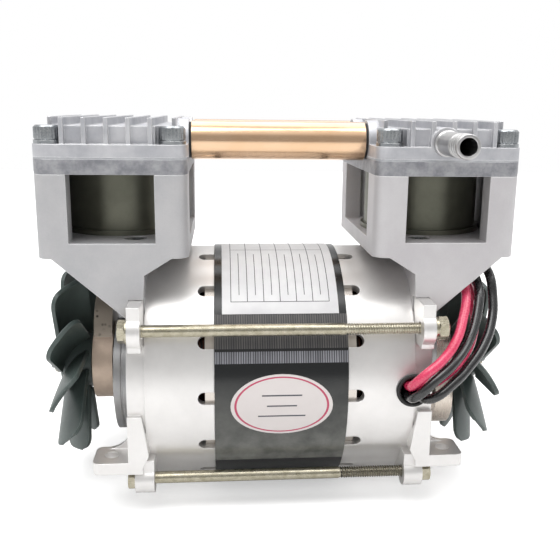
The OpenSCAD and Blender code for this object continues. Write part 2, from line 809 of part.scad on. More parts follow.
// Reeds: intake below the plate in its pocket, exhaust on top of the plate
module reed(z0, z1, side) {
    difference() {
        translate([0, side * (reed_start + reed_end) / 2, 0])
            block([-reed_width / 2, (reed_start - reed_end) / 2, z0],
                [reed_width / 2, (reed_end - reed_start) / 2, z1]);
        translate([0, side * rivet_y, 0]) zrod(rivet_r + seat_fit, z0 - over, z1 + over);
    }
}
reed_low = deck_z + reed_pocket;
module reed_valves() {
    color("lightsteelblue") both_x() at_cylinder() {
        reed(reed_low - reed_t, reed_low, -1);
        reed(gasket_z, gasket_z + reed_t, 1);
    }
}
// The stop stands on the exhaust reed at the rivet and lifts clear of it over the ports
module reed_stops() {
    base = gasket_z + reed_t;
    color("silver") both_x() at_cylinder() difference() {
        rotate([90, 0, 90]) translate([0, 0, -reed_width / 2]) linear_extrude(reed_width) polygon([
            [reed_start, base], [rivet_y + rivet_cap_r, base], [reed_end, base + stop_lift],
            [reed_end, base + stop_lift + stop_t], [rivet_y + rivet_cap_r, base + stop_t], [reed_start,
                base + stop_t]]);
        translate([0, rivet_y, 0]) zrod(rivet_r + seat_fit, base - over, base + stop_t + stop_lift);
    }
}
module reed_rivets() {
    top = gasket_z + reed_t + stop_t;
    low = reed_low - reed_t;
    color("silver") both_x() at_cylinder() {
        translate([0, rivet_y, 0]) {
            zrod(rivet_r, deck_z + reed_pocket, top);
            zrod(rivet_cap_r, top, top + rivet_cap_t);
        }
        translate([0, -rivet_y, 0]) {
            zrod(rivet_r, low, gasket_z);
            zrod(rivet_cap_r, low - rivet_cap_t, low);
        }
    }
}

// Chambers of a head: one in front, one behind, with a rib between them
module chambers(z0, z1, wall) {
    both_y() {
        block([-chamber_nose_x + wall, -chamber_nose_y + wall, z0],
            [chamber_nose_x - wall, -chamber_rib / 2, z1]);
        block([-chamber_x + wall, -chamber_y + wall, z0], [chamber_x - wall, -chamber_rib / 2, z1]);
    }
}
module head_gaskets() {
    color("darkslategray") both_x() at_cylinder() difference() {
        rounded_plate(case_length / 2, case_depth / 2, case_corner, gasket_z, flange_z);
        head_screw_holes(gasket_z - over, flange_z + over);
        chambers(gasket_z - over, flange_z + over, head_wall);
    }
}

// Head for the right side, with its barb in front; the left one is turned by half a turn
module head() {
    at_cylinder() difference() {
        union() {
            rounded_plate(case_length / 2, case_depth / 2, case_corner, flange_z, flange_top);
            block([-chamber_nose_x, -chamber_nose_y, flange_z],
                [chamber_nose_x, chamber_nose_y, chamber_top]);
            block([-chamber_x, -chamber_y, flange_z], [chamber_x, chamber_y, chamber_top]);
            for (i = [0 : fin_count - 1]) fin(fin_first + i * fin_pitch, fin_y);
            for (x = [-outer_fin_x, outer_fin_x]) fin(x, chamber_y);
            both_y() port_boss();
            translate([-barb_x, 0, barb_z]) yrod(barb_boss_r, -case_depth / 2, -chamber_y);
        }
        chambers(flange_z - over, chamber_top - head_wall, head_wall);
        head_screw_holes(flange_z - over, flange_top + over);
        both_y() translate([0, -tube_y, tube_z]) {
            xrod(spigot_tube_r + seat_fit, -case_length / 2 - over,
                -case_length / 2 + spigot_tube_length + face_gap);
            xrod(tube_bore_r, -case_length / 2, -chamber_x + head_wall + over);
        }
        translate([-barb_x, 0, barb_z]) {
            yrod(barb_r + seat_fit, -case_depth / 2 - over, -case_depth / 2 + barb_seat + face_gap);
            yrod(barb_bore_r, -case_depth / 2, -chamber_y + head_wall);
        }
        block([-case_length, -case_depth, flange_z - case_depth], [case_length, case_depth, flange_z]);
    }
}
module fin(x, reach) {
    block([x - fin_t / 2, -reach, flange_z], [x + fin_t / 2, reach, chamber_top + fin_height]);
}
module port_boss() {
    translate([0, -tube_y, tube_z]) xrod(port_boss_r, -case_length / 2, -case_length / 2 + port_boss_length);
}
module left_head() { color("silver") rotate(180) head(); }
module right_head() { color("silver") head(); }

module head_screws() {
    cap = flange_top + head_washer_t;
    color("lightgray") both_x() at_cylinder() four_corners_of_head() difference() {
        union() {
            zrod(head_screw_r, deck_z - head_screw_depth + face_gap, cap + over);
            zrod(screw_cap_r, cap, cap + screw_cap_t);
        }
        translate([0, 0, cap + screw_cap_t - socket_depth])
            cylinder(r = socket_flats / sqrt(3), h = socket_depth + over, $fn = 6);
    }
}
module head_screw_washers() {
    color("silver") both_x() at_cylinder() four_corners_of_head()
        zring(head_washer_r, head_screw_r + seat_fit, flange_top, flange_top + head_washer_t);
}

// Transfer tube: a thick gold tube with a thinner spigot in each head
module transfer_tube() {
    shoulder = case_inner - ring_t;
    translate([0, -tube_y, tube_z]) difference() {
        union() {
            xrod(tube_r, -shoulder, shoulder);
            xrod(spigot_tube_r, -case_inner - spigot_tube_length, case_inner + spigot_tube_length);
        }
        xrod(tube_bore_r, -cylinder_x, cylinder_x);
    }
}
module front_transfer_tube() { color("goldenrod") transfer_tube(); }
module rear_transfer_tube() { color("goldenrod") mirror([0, 1, 0]) transfer_tube(); }
module tube_seal_rings() {
    color("black") four_corners() translate([0, -tube_y, tube_z])
        xring(ring_r, spigot_tube_r + seat_fit, case_inner - ring_t, case_inner);
}

module hose_barb() {
    face = -case_depth / 2;
    translate([cylinder_x - barb_x, 0, barb_z]) difference() {
        union() {
            yrod(barb_r, face - barb_length, face + barb_seat);
            yrod(barb_base_r, face - barb_base_length, face);
        }
        yrod(barb_bore_r, face - barb_length - over, face + barb_seat + over);
    }
}
module inlet_barb() { color("gray") hose_barb(); }
module outlet_barb() { color("gray") rotate(180) hose_barb(); }

// Labels lie on the stack: a wide one over the top and an oval one in front
module rating_label() {
    reach = stack_r + stack_half;
    color("white") at_axis() intersection() {
        xring(stack_r + label_seat + label_t, stack_r + label_seat, -rating_half, rating_half);
        rotate([90, 0, 90]) translate([0, 0, -stack_half]) linear_extrude(stack_length)
            polygon([[0, 0], [reach * sin(rating_angle), reach * cos(rating_angle)],
                [reach, reach * 2], [-reach, reach * 2], [-reach * sin(rating_angle),
                    reach * cos(rating_angle)]]);
    }
}
module inspection_label() {
    half_height = stack_r * sin(oval_angle);
    color("white") at_axis() rotate([-oval_middle, 0, 0]) intersection() {
        xring(stack_r + label_seat + label_t, stack_r + label_seat, -oval_half, oval_half);
        rotate([90, 0, 0]) linear_extrude(stack_r + over) polygon([for (i = [0 : oval_points - 1])
            [oval_half * cos(i * 360 / oval_points), half_height * sin(i * 360 / oval_points)]]);
    }
}

// Main bearings: outer rings and shields stay, inner rings and balls turn with the shaft
module race(bore, outer, width, pitch, ball) {
    difference() {
        zring(outer, bore, 0, width);
        translate([0, 0, width / 2]) rotate_extrude() translate([pitch, 0]) circle(ball + ball_gap);
    }
}
module bearing_balls_set(count, pitch, ball) {
    for (i = [0 : count - 1]) rotate(i * 360 / count) translate([pitch, 0, 0]) sphere(ball);
}
module shields(inner, outer, width) {
    for (z = [shield_inset, width - shield_inset - shield_t]) zring(outer, inner, z, z + shield_t);
}
module in_main_bearing() { at_axis() translate([bearing_start, 0, 0]) rotate([0, 90, 0]) children(); }
module main_bearing_outer_rings() {
    color("silver") both_x() in_main_bearing()
        race(ball_pitch_r + ball_r - race_depth, bearing_r, bearing_width, ball_pitch_r, ball_r);
}
module main_bearing_shields() {
    inner = ball_pitch_r - ball_r + race_depth + shield_gap;
    color("dimgray") both_x() in_main_bearing()
        shields(inner, ball_pitch_r + ball_r - race_depth, bearing_width);
}
module main_bearing_inner_rings() {
    color("silver") both_x() in_main_bearing()
        race(journal_r + seat_fit, ball_pitch_r - ball_r + race_depth, bearing_width, ball_pitch_r, ball_r);
}
crank_bearing_start = rod_x - crank_bearing_width / 2;
module in_crank_bearing(throw) {
    translate([crank_bearing_start, 0, axis_z + throw]) rotate([0, 90, 0]) children();
}
module bearing_balls() {
    color("lightsteelblue") {
        both_x() in_main_bearing() translate([0, 0, bearing_width / 2])
            bearing_balls_set(ball_count, ball_pitch_r, ball_r);
        in_crank_bearing(crank_throw) crank_balls();
        flipped_x() in_crank_bearing(-crank_throw) crank_balls();
    }
}
module crank_balls() {
    translate([0, 0, crank_bearing_width / 2])
        bearing_balls_set(crank_ball_count, crank_ball_pitch_r, crank_ball_r);
}
module crank_inner_ring() {
    race(pin_r + seat_fit, crank_ball_pitch_r - crank_ball_r + race_depth, crank_bearing_width,
        crank_ball_pitch_r, crank_ball_r);
}
module crank_bearing_inner_rings() {
    color("silver") {
        in_crank_bearing(crank_throw) crank_inner_ring();
        flipped_x() in_crank_bearing(-crank_throw) crank_inner_ring();
    }
}
module crank_outer_ring(throw) {
    bore = crank_ball_pitch_r + crank_ball_r - race_depth;
    in_crank_bearing(throw)
        race(bore, crank_bearing_r, crank_bearing_width, crank_ball_pitch_r, crank_ball_r);
}
module left_crank_bearing_ring() { color("silver") flipped_x() crank_outer_ring(-crank_throw); }
module right_crank_bearing_ring() { color("silver") crank_outer_ring(crank_throw); }

// Shaft with a larger middle in the rotor core, journals, thinner ends and threads for the fan nuts
module shaft() {
    color("lightgray") at_axis() {
        xrod(core_shaft_r, -hub_start + over, hub_start - over);
        xrod(journal_r, -pin_start, pin_start);
        xrod(end_shaft_r, -fan_end, fan_end);
        xrod(fan_thread_r, -shaft_end, shaft_end);
    }
}
module rotor_core() {
    color("slategray") at_axis() {
        xring(rotor_r, core_shaft_r + seat_fit, -rotor_length / 2, rotor_length / 2);
        both_x() xring(rotor_r - slot_liner, end_ring_inner_r, rotor_length / 2,
            rotor_length / 2 + end_ring_t);
    }
}

// Eccentric for the right side: crankpin off the shaft's axis, and a counterweight with a rounded lobe on
// the other side. The left one is turned by half a turn
module eccentric() {
    difference() {
        union() {
            translate([0, 0, crank_throw]) xrod(pin_r, pin_start, pin_end);
            xrod(weight_hub_r, pin_end, weight_end);
            rotate([-weight_turn, 0, 0]) translate([0, 0, weight_lobe_r - weight_r])
                xrod(weight_lobe_r, pin_end + weight_face_step, weight_end - weight_face_step);
        }
        xrod(end_shaft_r + seat_fit, pin_start - over, weight_end + over);
        translate([(pin_end + weight_end) / 2, 0, 0]) yrod(set_screw_r + seat_fit, -weight_r, 0);
    }
}
module eccentric_set_screw() {
    translate([(pin_end + weight_end) / 2, 0, 0]) difference() {
        yrod(set_screw_r, -weight_hub_r + over, -end_shaft_r - seat_fit);
        rotate([90, 0, 0]) translate([0, 0, weight_hub_r - set_socket_depth - over])
            cylinder(r = set_socket_flats / sqrt(3), h = set_socket_depth + over, $fn = 6);
    }
}
module left_crank() { at_axis() flipped_x() rotate([180, 0, 0]) children(); }
module left_eccentric() { color("tan") left_crank() eccentric(); }
module right_eccentric() { color("lightgray") at_axis() eccentric(); }
module eccentric_set_screws() {
    color("dimgray") {
        left_crank() eccentric_set_screw();
        at_axis() eccentric_set_screw();
    }
}

// Fan: a hub with a tapered nose and cambered blades with round corners
function arc_point(rho, angle, middle) = [rho * sin(angle), rho * cos(angle) - middle];
module blade_section() {
    chord = sqrt(pow(blade_x, 2) + pow(blade_span, 2));
    rho = (pow(chord / 2, 2) + pow(blade_camber, 2)) / (2 * blade_camber);
    half = asin(chord / 2 / rho);
    middle = rho - blade_camber;
    rotate(-atan2(blade_span, blade_x)) polygon(concat(
        [for (i = [-blade_steps : blade_steps]) arc_point(rho + blade_t / 2, half * i / blade_steps,
            middle)],
        [for (i = [-blade_steps : blade_steps]) arc_point(rho - blade_t / 2, -half * i / blade_steps,
            middle)]));
}
module blade() {
    chord = sqrt(pow(blade_x, 2) + pow(blade_span, 2));
    intersection() {
        rotate([90, 0, 0]) linear_extrude(fan_r) blade_section();
        xrod(fan_r, -chord, chord);
        rotate([0, atan2(blade_span, blade_x), 0]) translate([0, 0, -chord]) linear_extrude(2 * chord)
            translate([0, -fan_r / 2]) rounded(chord / 2, fan_r / 2, blade_corner);
    }
}
module fan(turn) {
    difference() {
        union() {
            xrod(fan_hub_r, fan_start, fan_end - fan_nose);
            translate([fan_end - fan_nose, 0, 0]) rotate([0, 90, 0])
                cylinder(r1 = fan_hub_r, r2 = fan_hub_r - fan_nose_step, h = fan_nose);
            for (i = [0 : blade_count - 1]) rotate([-turn - i * 360 / blade_count, 0, 0])
                translate([fan_end - blade_inset - blade_x / 2, 0, 0]) blade();
        }
        xrod(end_shaft_r + seat_fit, fan_start - over, fan_end + over);
    }
}
module left_fan() { color("darkslategray") at_axis() flipped_x() fan(left_fan_turn); }
module right_fan() { color("darkslategray") at_axis() fan(right_fan_turn); }
module fan_nuts() {
    color("silver") at_axis() both_x() difference() {
        xhex(fan_nut_flats, fan_end, fan_end + fan_nut_t);
        xrod(fan_thread_r + seat_fit, fan_end - over, fan_end + fan_nut_t + over);
    }
}

// Connecting rod for the right side: ring, shank and the disc below the piston
module connecting_rod(throw) {
    lift = throw - crank_throw;
    middle = axis_z + throw;
    ring_r_out = crank_bearing_r + rod_ring_wall;
    difference() {
        union() {
            translate([0, 0, middle]) xrod(ring_r_out, rod_x - rod_t / 2, rod_x + rod_t / 2);
            block([rod_x - rod_shank_t / 2, -rod_width / 2, middle],
                [rod_x + rod_shank_t / 2, rod_width / 2, rod_top + lift - rod_top_t]);
            at_cylinder() zrod(rod_top_r, rod_top + lift - rod_top_t, rod_top + lift);
        }
        translate([0, 0, middle]) {
            xrod(crank_bearing_r + seat_fit, rod_x - rod_t, rod_x + rod_t);
            xring(ring_r_out + over, ring_r_out - groove_depth, rod_x - groove_width / 2,
                rod_x + groove_width / 2);
        }
    }
}
module left_connecting_rod() { color("gray") flipped_x() connecting_rod(-crank_throw); }
module right_connecting_rod() { color("gray") connecting_rod(crank_throw); }

// Piston parts for the right side, lowered by the throw's difference from the top
module at_piston(throw) { translate([cylinder_x, 0, throw - crank_throw]) children(); }
module piston(throw) {
    at_piston(throw) difference() {
        zrod(bore_r - piston_step, piston_z, seal_z);
        zrod(piston_screw_r + seat_fit, seal_z - piston_screw_depth, seal_z + over);
    }
}
module left_piston() { color("lightgray") flipped_x() piston(-crank_throw); }
module right_piston() { color("lightgray") piston(crank_throw); }
module cup_seal(throw) {
    at_piston(throw) difference() {
        zrod(seal_r, seal_z, seal_z + seal_t + seal_lip);
        zrod(seal_r - seal_lip_wall, seal_z + seal_t, piston_top + over);
        zrod(piston_screw_r + seat_fit, seal_z - over, seal_z + seal_t + over);
    }
}
module left_cup_seal() { color("peru") flipped_x() cup_seal(-crank_throw); }
module right_cup_seal() { color("peru") cup_seal(crank_throw); }
module seal_retainer(throw) {
    at_piston(throw) translate([0, 0, seal_z + seal_t]) difference() {
        zrod(seal_r - retainer_step, 0, retainer_t);
        zrod(piston_screw_r + seat_fit, -over, retainer_t + over);
        zrod(piston_screw_cap_r + counterbore_gap, retainer_t / 2, retainer_t + over);
    }
}
module left_seal_retainer() { color("silver") flipped_x() seal_retainer(-crank_throw); }
module right_seal_retainer() { color("silver") seal_retainer(crank_throw); }
module piston_screw(throw) {
    at_piston(throw) translate([0, 0, seal_z]) {
        zrod(piston_screw_r, seat_fit - piston_screw_depth, seal_t + retainer_t);
        zrod(piston_screw_cap_r, seal_t + retainer_t / 2, seal_t + retainer_t);
    }
}
module left_piston_screw() { color("dimgray") flipped_x() piston_screw(-crank_throw); }
module right_piston_screw() { color("dimgray") piston_screw(crank_throw); }

// Grommet in the cable hole of the right bell
module cable_grommet() {
    color("black") translate([rim_face - cable_hole_x, 0, axis_z + cable_hole_rise]) difference() {
        union() {
            yrod(cable_hole_r - seat_fit, -bell_r - over, -bell_r + grommet_depth);
            yrod(grommet_flange_r, -bell_r - seat_fit - grommet_flange_t, -bell_r - seat_fit);
        }
        yrod(cable_hole_r - grommet_wall, -bell_r - grommet_flange_t - over, -bell_r + grommet_depth + over);
    }
}

// A lead is one tube of flat facets swept along its route
function unit(v) = v / norm(v);
function way(route, i) = unit(route[min(i + 1, len(route) - 1)] - route[max(i - 1, 0)]);
function across(direction) = unit(cross(direction, [0.3, 0.2, 1]));
function lead_ring(route, i) =
    let (d = way(route, i), u = across(d), v = cross(d, u))
    [for (k = [0 : lead_sides - 1])
        route[i] + lead_d / 2 * (u * cos(k * 360 / lead_sides) + v * sin(k * 360 / lead_sides))];
module lead(route) {
    n = len(route);
    points = [for (i = [0 : n - 1]) each lead_ring(route, i)];
    sides = [for (i = [0 : n - 2], k = [0 : lead_sides - 1])
        let (a = i * lead_sides + k, b = i * lead_sides + (k + 1) % lead_sides)
        each [[a, b, b + lead_sides], [a, b + lead_sides, a + lead_sides]]];
    start = [[for (k = [0 : lead_sides - 1]) lead_sides - 1 - k]];
    end = [[for (k = [0 : lead_sides - 1]) (n - 1) * lead_sides + k]];
    polyhedron(points, concat(sides, start, end));
}
module red_lead_a() { color("crimson") lead(red_a_route); }
module black_lead_a() { color("black") lead(black_a_route); }
module red_lead_b() { color("crimson") lead(red_b_route); }
module black_lead_b() { color("black") lead(black_b_route); }

// Insulated female terminals at the ends of the leads, lying on the surface
module lead_terminals() {
    color("tomato") for (route = [red_a_route, black_a_route, red_b_route, black_b_route]) {
        last = route[len(route) - 1];
        d = way(route, len(route) - 1);
        translate(last) rotate([0, 0, atan2(d[1], d[0])]) terminal();
    }
}
module terminal() {
    difference() {
        translate([0, 0, terminal_r - lead_d / 2 - terminal_lift])
            block([terminal_gap, -terminal_r, -terminal_r], [terminal_length, terminal_r, terminal_r]);
        block([terminal_length - terminal_mouth, -terminal_slot, -terminal_slot_t],
            [terminal_length + over, terminal_slot, terminal_slot_t]);
    }
}

stator_core();
stator_windings();
left_end_bell();
right_end_bell();
through_bolts();
through_bolt_nuts();
through_bolt_washers();
left_crankcase();
right_crankcase();
crankcase_screws();
left_cylinder_liner();
right_cylinder_liner();
left_valve_plate();
right_valve_plate();
reed_valves();
reed_stops();
reed_rivets();
head_gaskets();
left_head();
right_head();
head_screws();
head_screw_washers();
front_transfer_tube();
rear_transfer_tube();
tube_seal_rings();
inlet_barb();
outlet_barb();
main_bearing_outer_rings();
main_bearing_shields();
rating_label();
inspection_label();
cable_grommet();
red_lead_a();
black_lead_a();
red_lead_b();
black_lead_b();
lead_terminals();
shaft();
rotor_core();
main_bearing_inner_rings();
bearing_balls();
crank_bearing_inner_rings();
left_eccentric();
right_eccentric();
eccentric_set_screws();
left_fan();
right_fan();
fan_nuts();
left_connecting_rod();
left_crank_bearing_ring();
right_connecting_rod();
right_crank_bearing_ring();
left_piston();
left_cup_seal();
left_seal_retainer();
left_piston_screw();
right_piston();
right_cup_seal();
right_seal_retainer();
right_piston_screw();
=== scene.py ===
import math
import bmesh
import bpy
from mathutils import Matrix, Vector


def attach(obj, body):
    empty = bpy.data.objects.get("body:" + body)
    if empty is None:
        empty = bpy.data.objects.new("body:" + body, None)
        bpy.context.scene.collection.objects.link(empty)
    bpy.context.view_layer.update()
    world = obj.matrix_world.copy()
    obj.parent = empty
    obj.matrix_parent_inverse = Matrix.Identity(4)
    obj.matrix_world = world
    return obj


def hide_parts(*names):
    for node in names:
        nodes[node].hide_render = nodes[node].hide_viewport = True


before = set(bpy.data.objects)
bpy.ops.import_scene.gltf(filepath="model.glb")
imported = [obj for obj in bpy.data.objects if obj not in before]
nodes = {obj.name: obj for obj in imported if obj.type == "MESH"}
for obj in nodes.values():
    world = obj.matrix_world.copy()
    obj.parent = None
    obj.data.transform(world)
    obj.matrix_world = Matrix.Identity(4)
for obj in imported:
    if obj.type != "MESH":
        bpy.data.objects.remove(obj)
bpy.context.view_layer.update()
mm = 0.001  # the scene is in metres, the sizes below in millimetres
shaftHeight = 50.5
print("frame loaded:", len(nodes), "nodes")


# Camera, at the photograph's angle
photoCamera = {
    "place": (-23.3, -328.9, 162.7),
    "yaw": 5.0,
    "pitch": -13.0,
    "roll": -0.75,
    "focal": 747.6,  # in pixels of a 560 pixel frame
    "frame": 560,
    "right": 6,  # pixels from the middle of the frame to the lens axis
}


def makeCamera(facts):
    yaw, pitch, roll = (math.radians(facts[k]) for k in ("yaw", "pitch", "roll"))
    level = Vector((math.sin(yaw), math.cos(yaw), 0))
    right = Vector((math.cos(yaw), -math.sin(yaw), 0))
    forward = level * math.cos(pitch) + Vector((0, 0, math.sin(pitch)))
    up = -level * math.sin(pitch) + Vector((0, 0, math.cos(pitch)))
    turnedRight = right * math.cos(roll) - up * math.sin(roll)
    turnedUp = right * math.sin(roll) + up * math.cos(roll)
    lens = bpy.data.cameras.new("photoCamera")
    lens.sensor_width = 36
    lens.lens = lens.sensor_width * facts["focal"] / facts["frame"]
    lens.shift_x = -facts["right"] / facts["frame"]
    lens.clip_start = 0.01
    holder = bpy.data.objects.new("photoCamera", lens)
    bpy.context.scene.collection.objects.link(holder)
    matrix = Matrix((turnedRight, turnedUp, -forward)).transposed().to_4x4()
    matrix.translation = Vector(facts["place"]) * mm
    holder.matrix_world = matrix
    bpy.context.scene.camera = holder


makeCamera(photoCamera)
print("camera set")


# Materials
def linear(hexColour):
    values = [int(hexColour[i:i + 2], 16) / 255 for i in (1, 3, 5)]
    return [v / 12.92 if v <= 0.04045 else ((v + 0.055) / 1.055) ** 2.4 for v in values] + [1]


def addNode(tree, kind, settings=None, inputs=None):
    node = tree.nodes.new(kind)
    for name, value in (settings or {}).items():
        setattr(node, name, value)
    for name, value in (inputs or {}).items():
        if isinstance(value, bpy.types.NodeSocket):
            tree.links.new(value, node.inputs[name])
        else:
            node.inputs[name].default_value = value
    return node


def startMaterial(name, shaderValues):
    material = bpy.data.materials.new(name)
    material.use_nodes = True
    tree = material.node_tree
    shader = tree.nodes["Principled BSDF"]
    for socket, value in shaderValues.items():
        shader.inputs[socket].default_value = value
    return material, tree, shader


def aroundShaft(tree):
    # the place, its x, and its angle round the shaft, from the front upwards
    place = addNode(tree, "ShaderNodeTexCoord").outputs["Object"]
    split = addNode(tree, "ShaderNodeSeparateXYZ", inputs={"Vector": place})
    rise = addNode(tree, "ShaderNodeMath", {"operation": "SUBTRACT"}, {
        0: split.outputs["Z"], 1: shaftHeight * mm})
    front = addNode(tree, "ShaderNodeMath", {"operation": "MULTIPLY"}, {0: split.outputs["Y"], 1: -1.0})
    angle = addNode(tree, "ShaderNodeMath", {"operation": "ARCTAN2"}, {
        0: rise.outputs[0], 1: front.outputs[0]})
    return place, split.outputs["X"], angle.outputs[0]


def zoneMask(tree, place, zone):
    # 1 between two distances, from the middle along x or out from the shaft
    split = addNode(tree, "ShaderNodeSeparateXYZ", inputs={"Vector": place})
    if zone["by"] == "x":
        away = addNode(tree, "ShaderNodeMath", {"operation": "ABSOLUTE"}, {0: split.outputs["X"]}).outputs[0]
    else:
        rise = addNode(tree, "ShaderNodeMath", {"operation": "SUBTRACT"}, {
            0: split.outputs["Z"], 1: shaftHeight * mm})
        pair = addNode(tree, "ShaderNodeCombineXYZ", inputs={"X": split.outputs["Y"], "Y": rise.outputs[0]})
        away = addNode(tree, "ShaderNodeVectorMath", {"operation": "LENGTH"}, {
            0: pair.outputs["Vector"]}).outputs["Value"]
    middle = (zone["from"] + zone["to"]) / 2 * mm
    reach = (zone["to"] - zone["from"]) / 2 * mm
    return addNode(tree, "ShaderNodeMath", {"operation": "COMPARE"}, {
        0: away, 1: middle, 2: reach}).outputs[0]


def bandsIn(width):
    # scale of a wave texture, which makes 20 radians of bands in one unit
    return math.tau / 20 / (width * mm)


# What a finish has where its own settings say nothing, sizes in millimetres
plainFinish = {
    "metallic": 1.0, "shader": {}, "patch": 9, "grain": (0.6, 0.6, 0.6), "edgeWidth": 0.5, "depth": 0.05,
    "relief": 0.5, "wear": 0.8, "patchFrom": 0.35, "patchTo": 0.65, "grainFrom": 0.3, "grainTo": 0.7,
    "hollowFrom": 0.5, "hollowTo": 0.44, "wearAndHighlightFrom": 0.98, "wearAndHighlightTo": 0.8,
}


def finishMaterial(name, ownFacts):
    # colour with a second tone in patches, bright edges that are partly wear and partly a painted highlight,
    # a fine grain and a roughness that varies
    facts = {**plainFinish, **ownFacts}
    material, tree, shader = startMaterial(name, {"Metallic": facts["metallic"], **facts["shader"]})
    place = addNode(tree, "ShaderNodeTexCoord").outputs["Object"]
    patches = addNode(tree, "ShaderNodeTexNoise", inputs={
        "Vector": place, "Scale": 1 / (facts["patch"] * mm), "Detail": 5.0, "Roughness": 0.6})
    spread = addNode(tree, "ShaderNodeMapRange", inputs={
        "Value": patches.outputs["Fac"], "From Min": facts["patchFrom"],
        "From Max": facts["patchTo"]}).outputs["Result"]
    colour = addNode(tree, "ShaderNodeMix", {"data_type": "RGBA"}, {
        0: spread, 6: linear(facts["base"]), 7: linear(facts["second"])}).outputs[2]
    stretched = addNode(tree, "ShaderNodeMapping", inputs={
        "Vector": place, "Scale": [1 / (size * mm) for size in facts["grain"]]})
    grain = addNode(tree, "ShaderNodeTexNoise", inputs={
        "Vector": stretched.outputs["Vector"], "Scale": 1.0, "Detail": 3.0,
        "Roughness": 0.55}).outputs["Fac"]
    if "zone" in facts:
        zone = facts["zone"]
        inZone = zoneMask(tree, place, zone)
        colour = addNode(tree, "ShaderNodeMix", {"data_type": "RGBA"}, {
            0: inZone, 6: colour, 7: linear(zone["colour"])}).outputs[2]
        fromPit = addNode(tree, "ShaderNodeTexVoronoi", inputs={
            "Vector": place, "Scale": 1 / (zone["pitSize"] * mm)})
        pitted = addNode(tree, "ShaderNodeMapRange", inputs={
            "Value": fromPit.outputs["Distance"], "From Min": zone["pitOuter"],
            "From Max": zone["pitInner"]})
        noiseWeighted = addNode(tree, "ShaderNodeMath", {"operation": "MULTIPLY"}, {
            0: pitted.outputs["Result"], 1: spread})
        kept = addNode(tree, "ShaderNodeMath", {"operation": "MULTIPLY"}, {0: noiseWeighted.outputs[0], 1: inZone})
        colour = addNode(tree, "ShaderNodeMix", {"data_type": "RGBA"}, {
            0: kept.outputs[0], 6: colour, 7: linear(zone["pits"])}).outputs[2]
    # roots of threads and knurls darkened by pointiness: dirt and painted shade
    if "root" in facts:
        rootDirtAndShade = addNode(tree, "ShaderNodeMapRange", inputs={
            "Value": addNode(tree, "ShaderNodeNewGeometry").outputs["Pointiness"],
            "From Min": facts["hollowFrom"], "From Max": facts["hollowTo"]})
        colour = addNode(tree, "ShaderNodeMix", {"data_type": "RGBA"}, {
            0: rootDirtAndShade.outputs["Result"], 6: colour, 7: linear(facts["root"])}).outputs[2]
    bump = addNode(tree, "ShaderNodeBump", inputs={
        "Strength": facts["relief"], "Distance": facts["depth"] * mm, "Height": grain})
    if "edge" in facts:
        rounded = addNode(tree, "ShaderNodeBevel", {"samples": 4}, {
            "Radius": facts["edgeWidth"] * mm}).outputs["Normal"]
        straight = addNode(tree, "ShaderNodeNewGeometry").outputs["Normal"]
        facing = addNode(tree, "ShaderNodeVectorMath", {"operation": "DOT_PRODUCT"}, {
            0: rounded, 1: straight})
        # bright edges: partly wear, partly a painted highlight where a rounded edge would catch the light
        worn = addNode(tree, "ShaderNodeMapRange", inputs={
            "Value": facing.outputs["Value"], "From Min": facts["wearAndHighlightFrom"], "From Max": facts["wearAndHighlightTo"],
            "To Max": facts["wear"]})
        colour = addNode(tree, "ShaderNodeMix", {"data_type": "RGBA"}, {
            0: worn.outputs["Result"], 6: colour, 7: linear(facts["edge"])}).outputs[2]
        tree.links.new(rounded, bump.inputs["Normal"])
    tree.links.new(colour, shader.inputs["Base Color"])
    low, high = facts["rough"]
    rough = addNode(tree, "ShaderNodeMapRange", inputs={
        "Value": grain, "From Min": facts["grainFrom"], "From Max": facts["grainTo"],
        "To Min": low, "To Max": high})
    tree.links.new(rough.outputs["Result"], shader.inputs["Roughness"])
    tree.links.new(bump.outputs["Normal"], shader.inputs["Normal"])
    return material


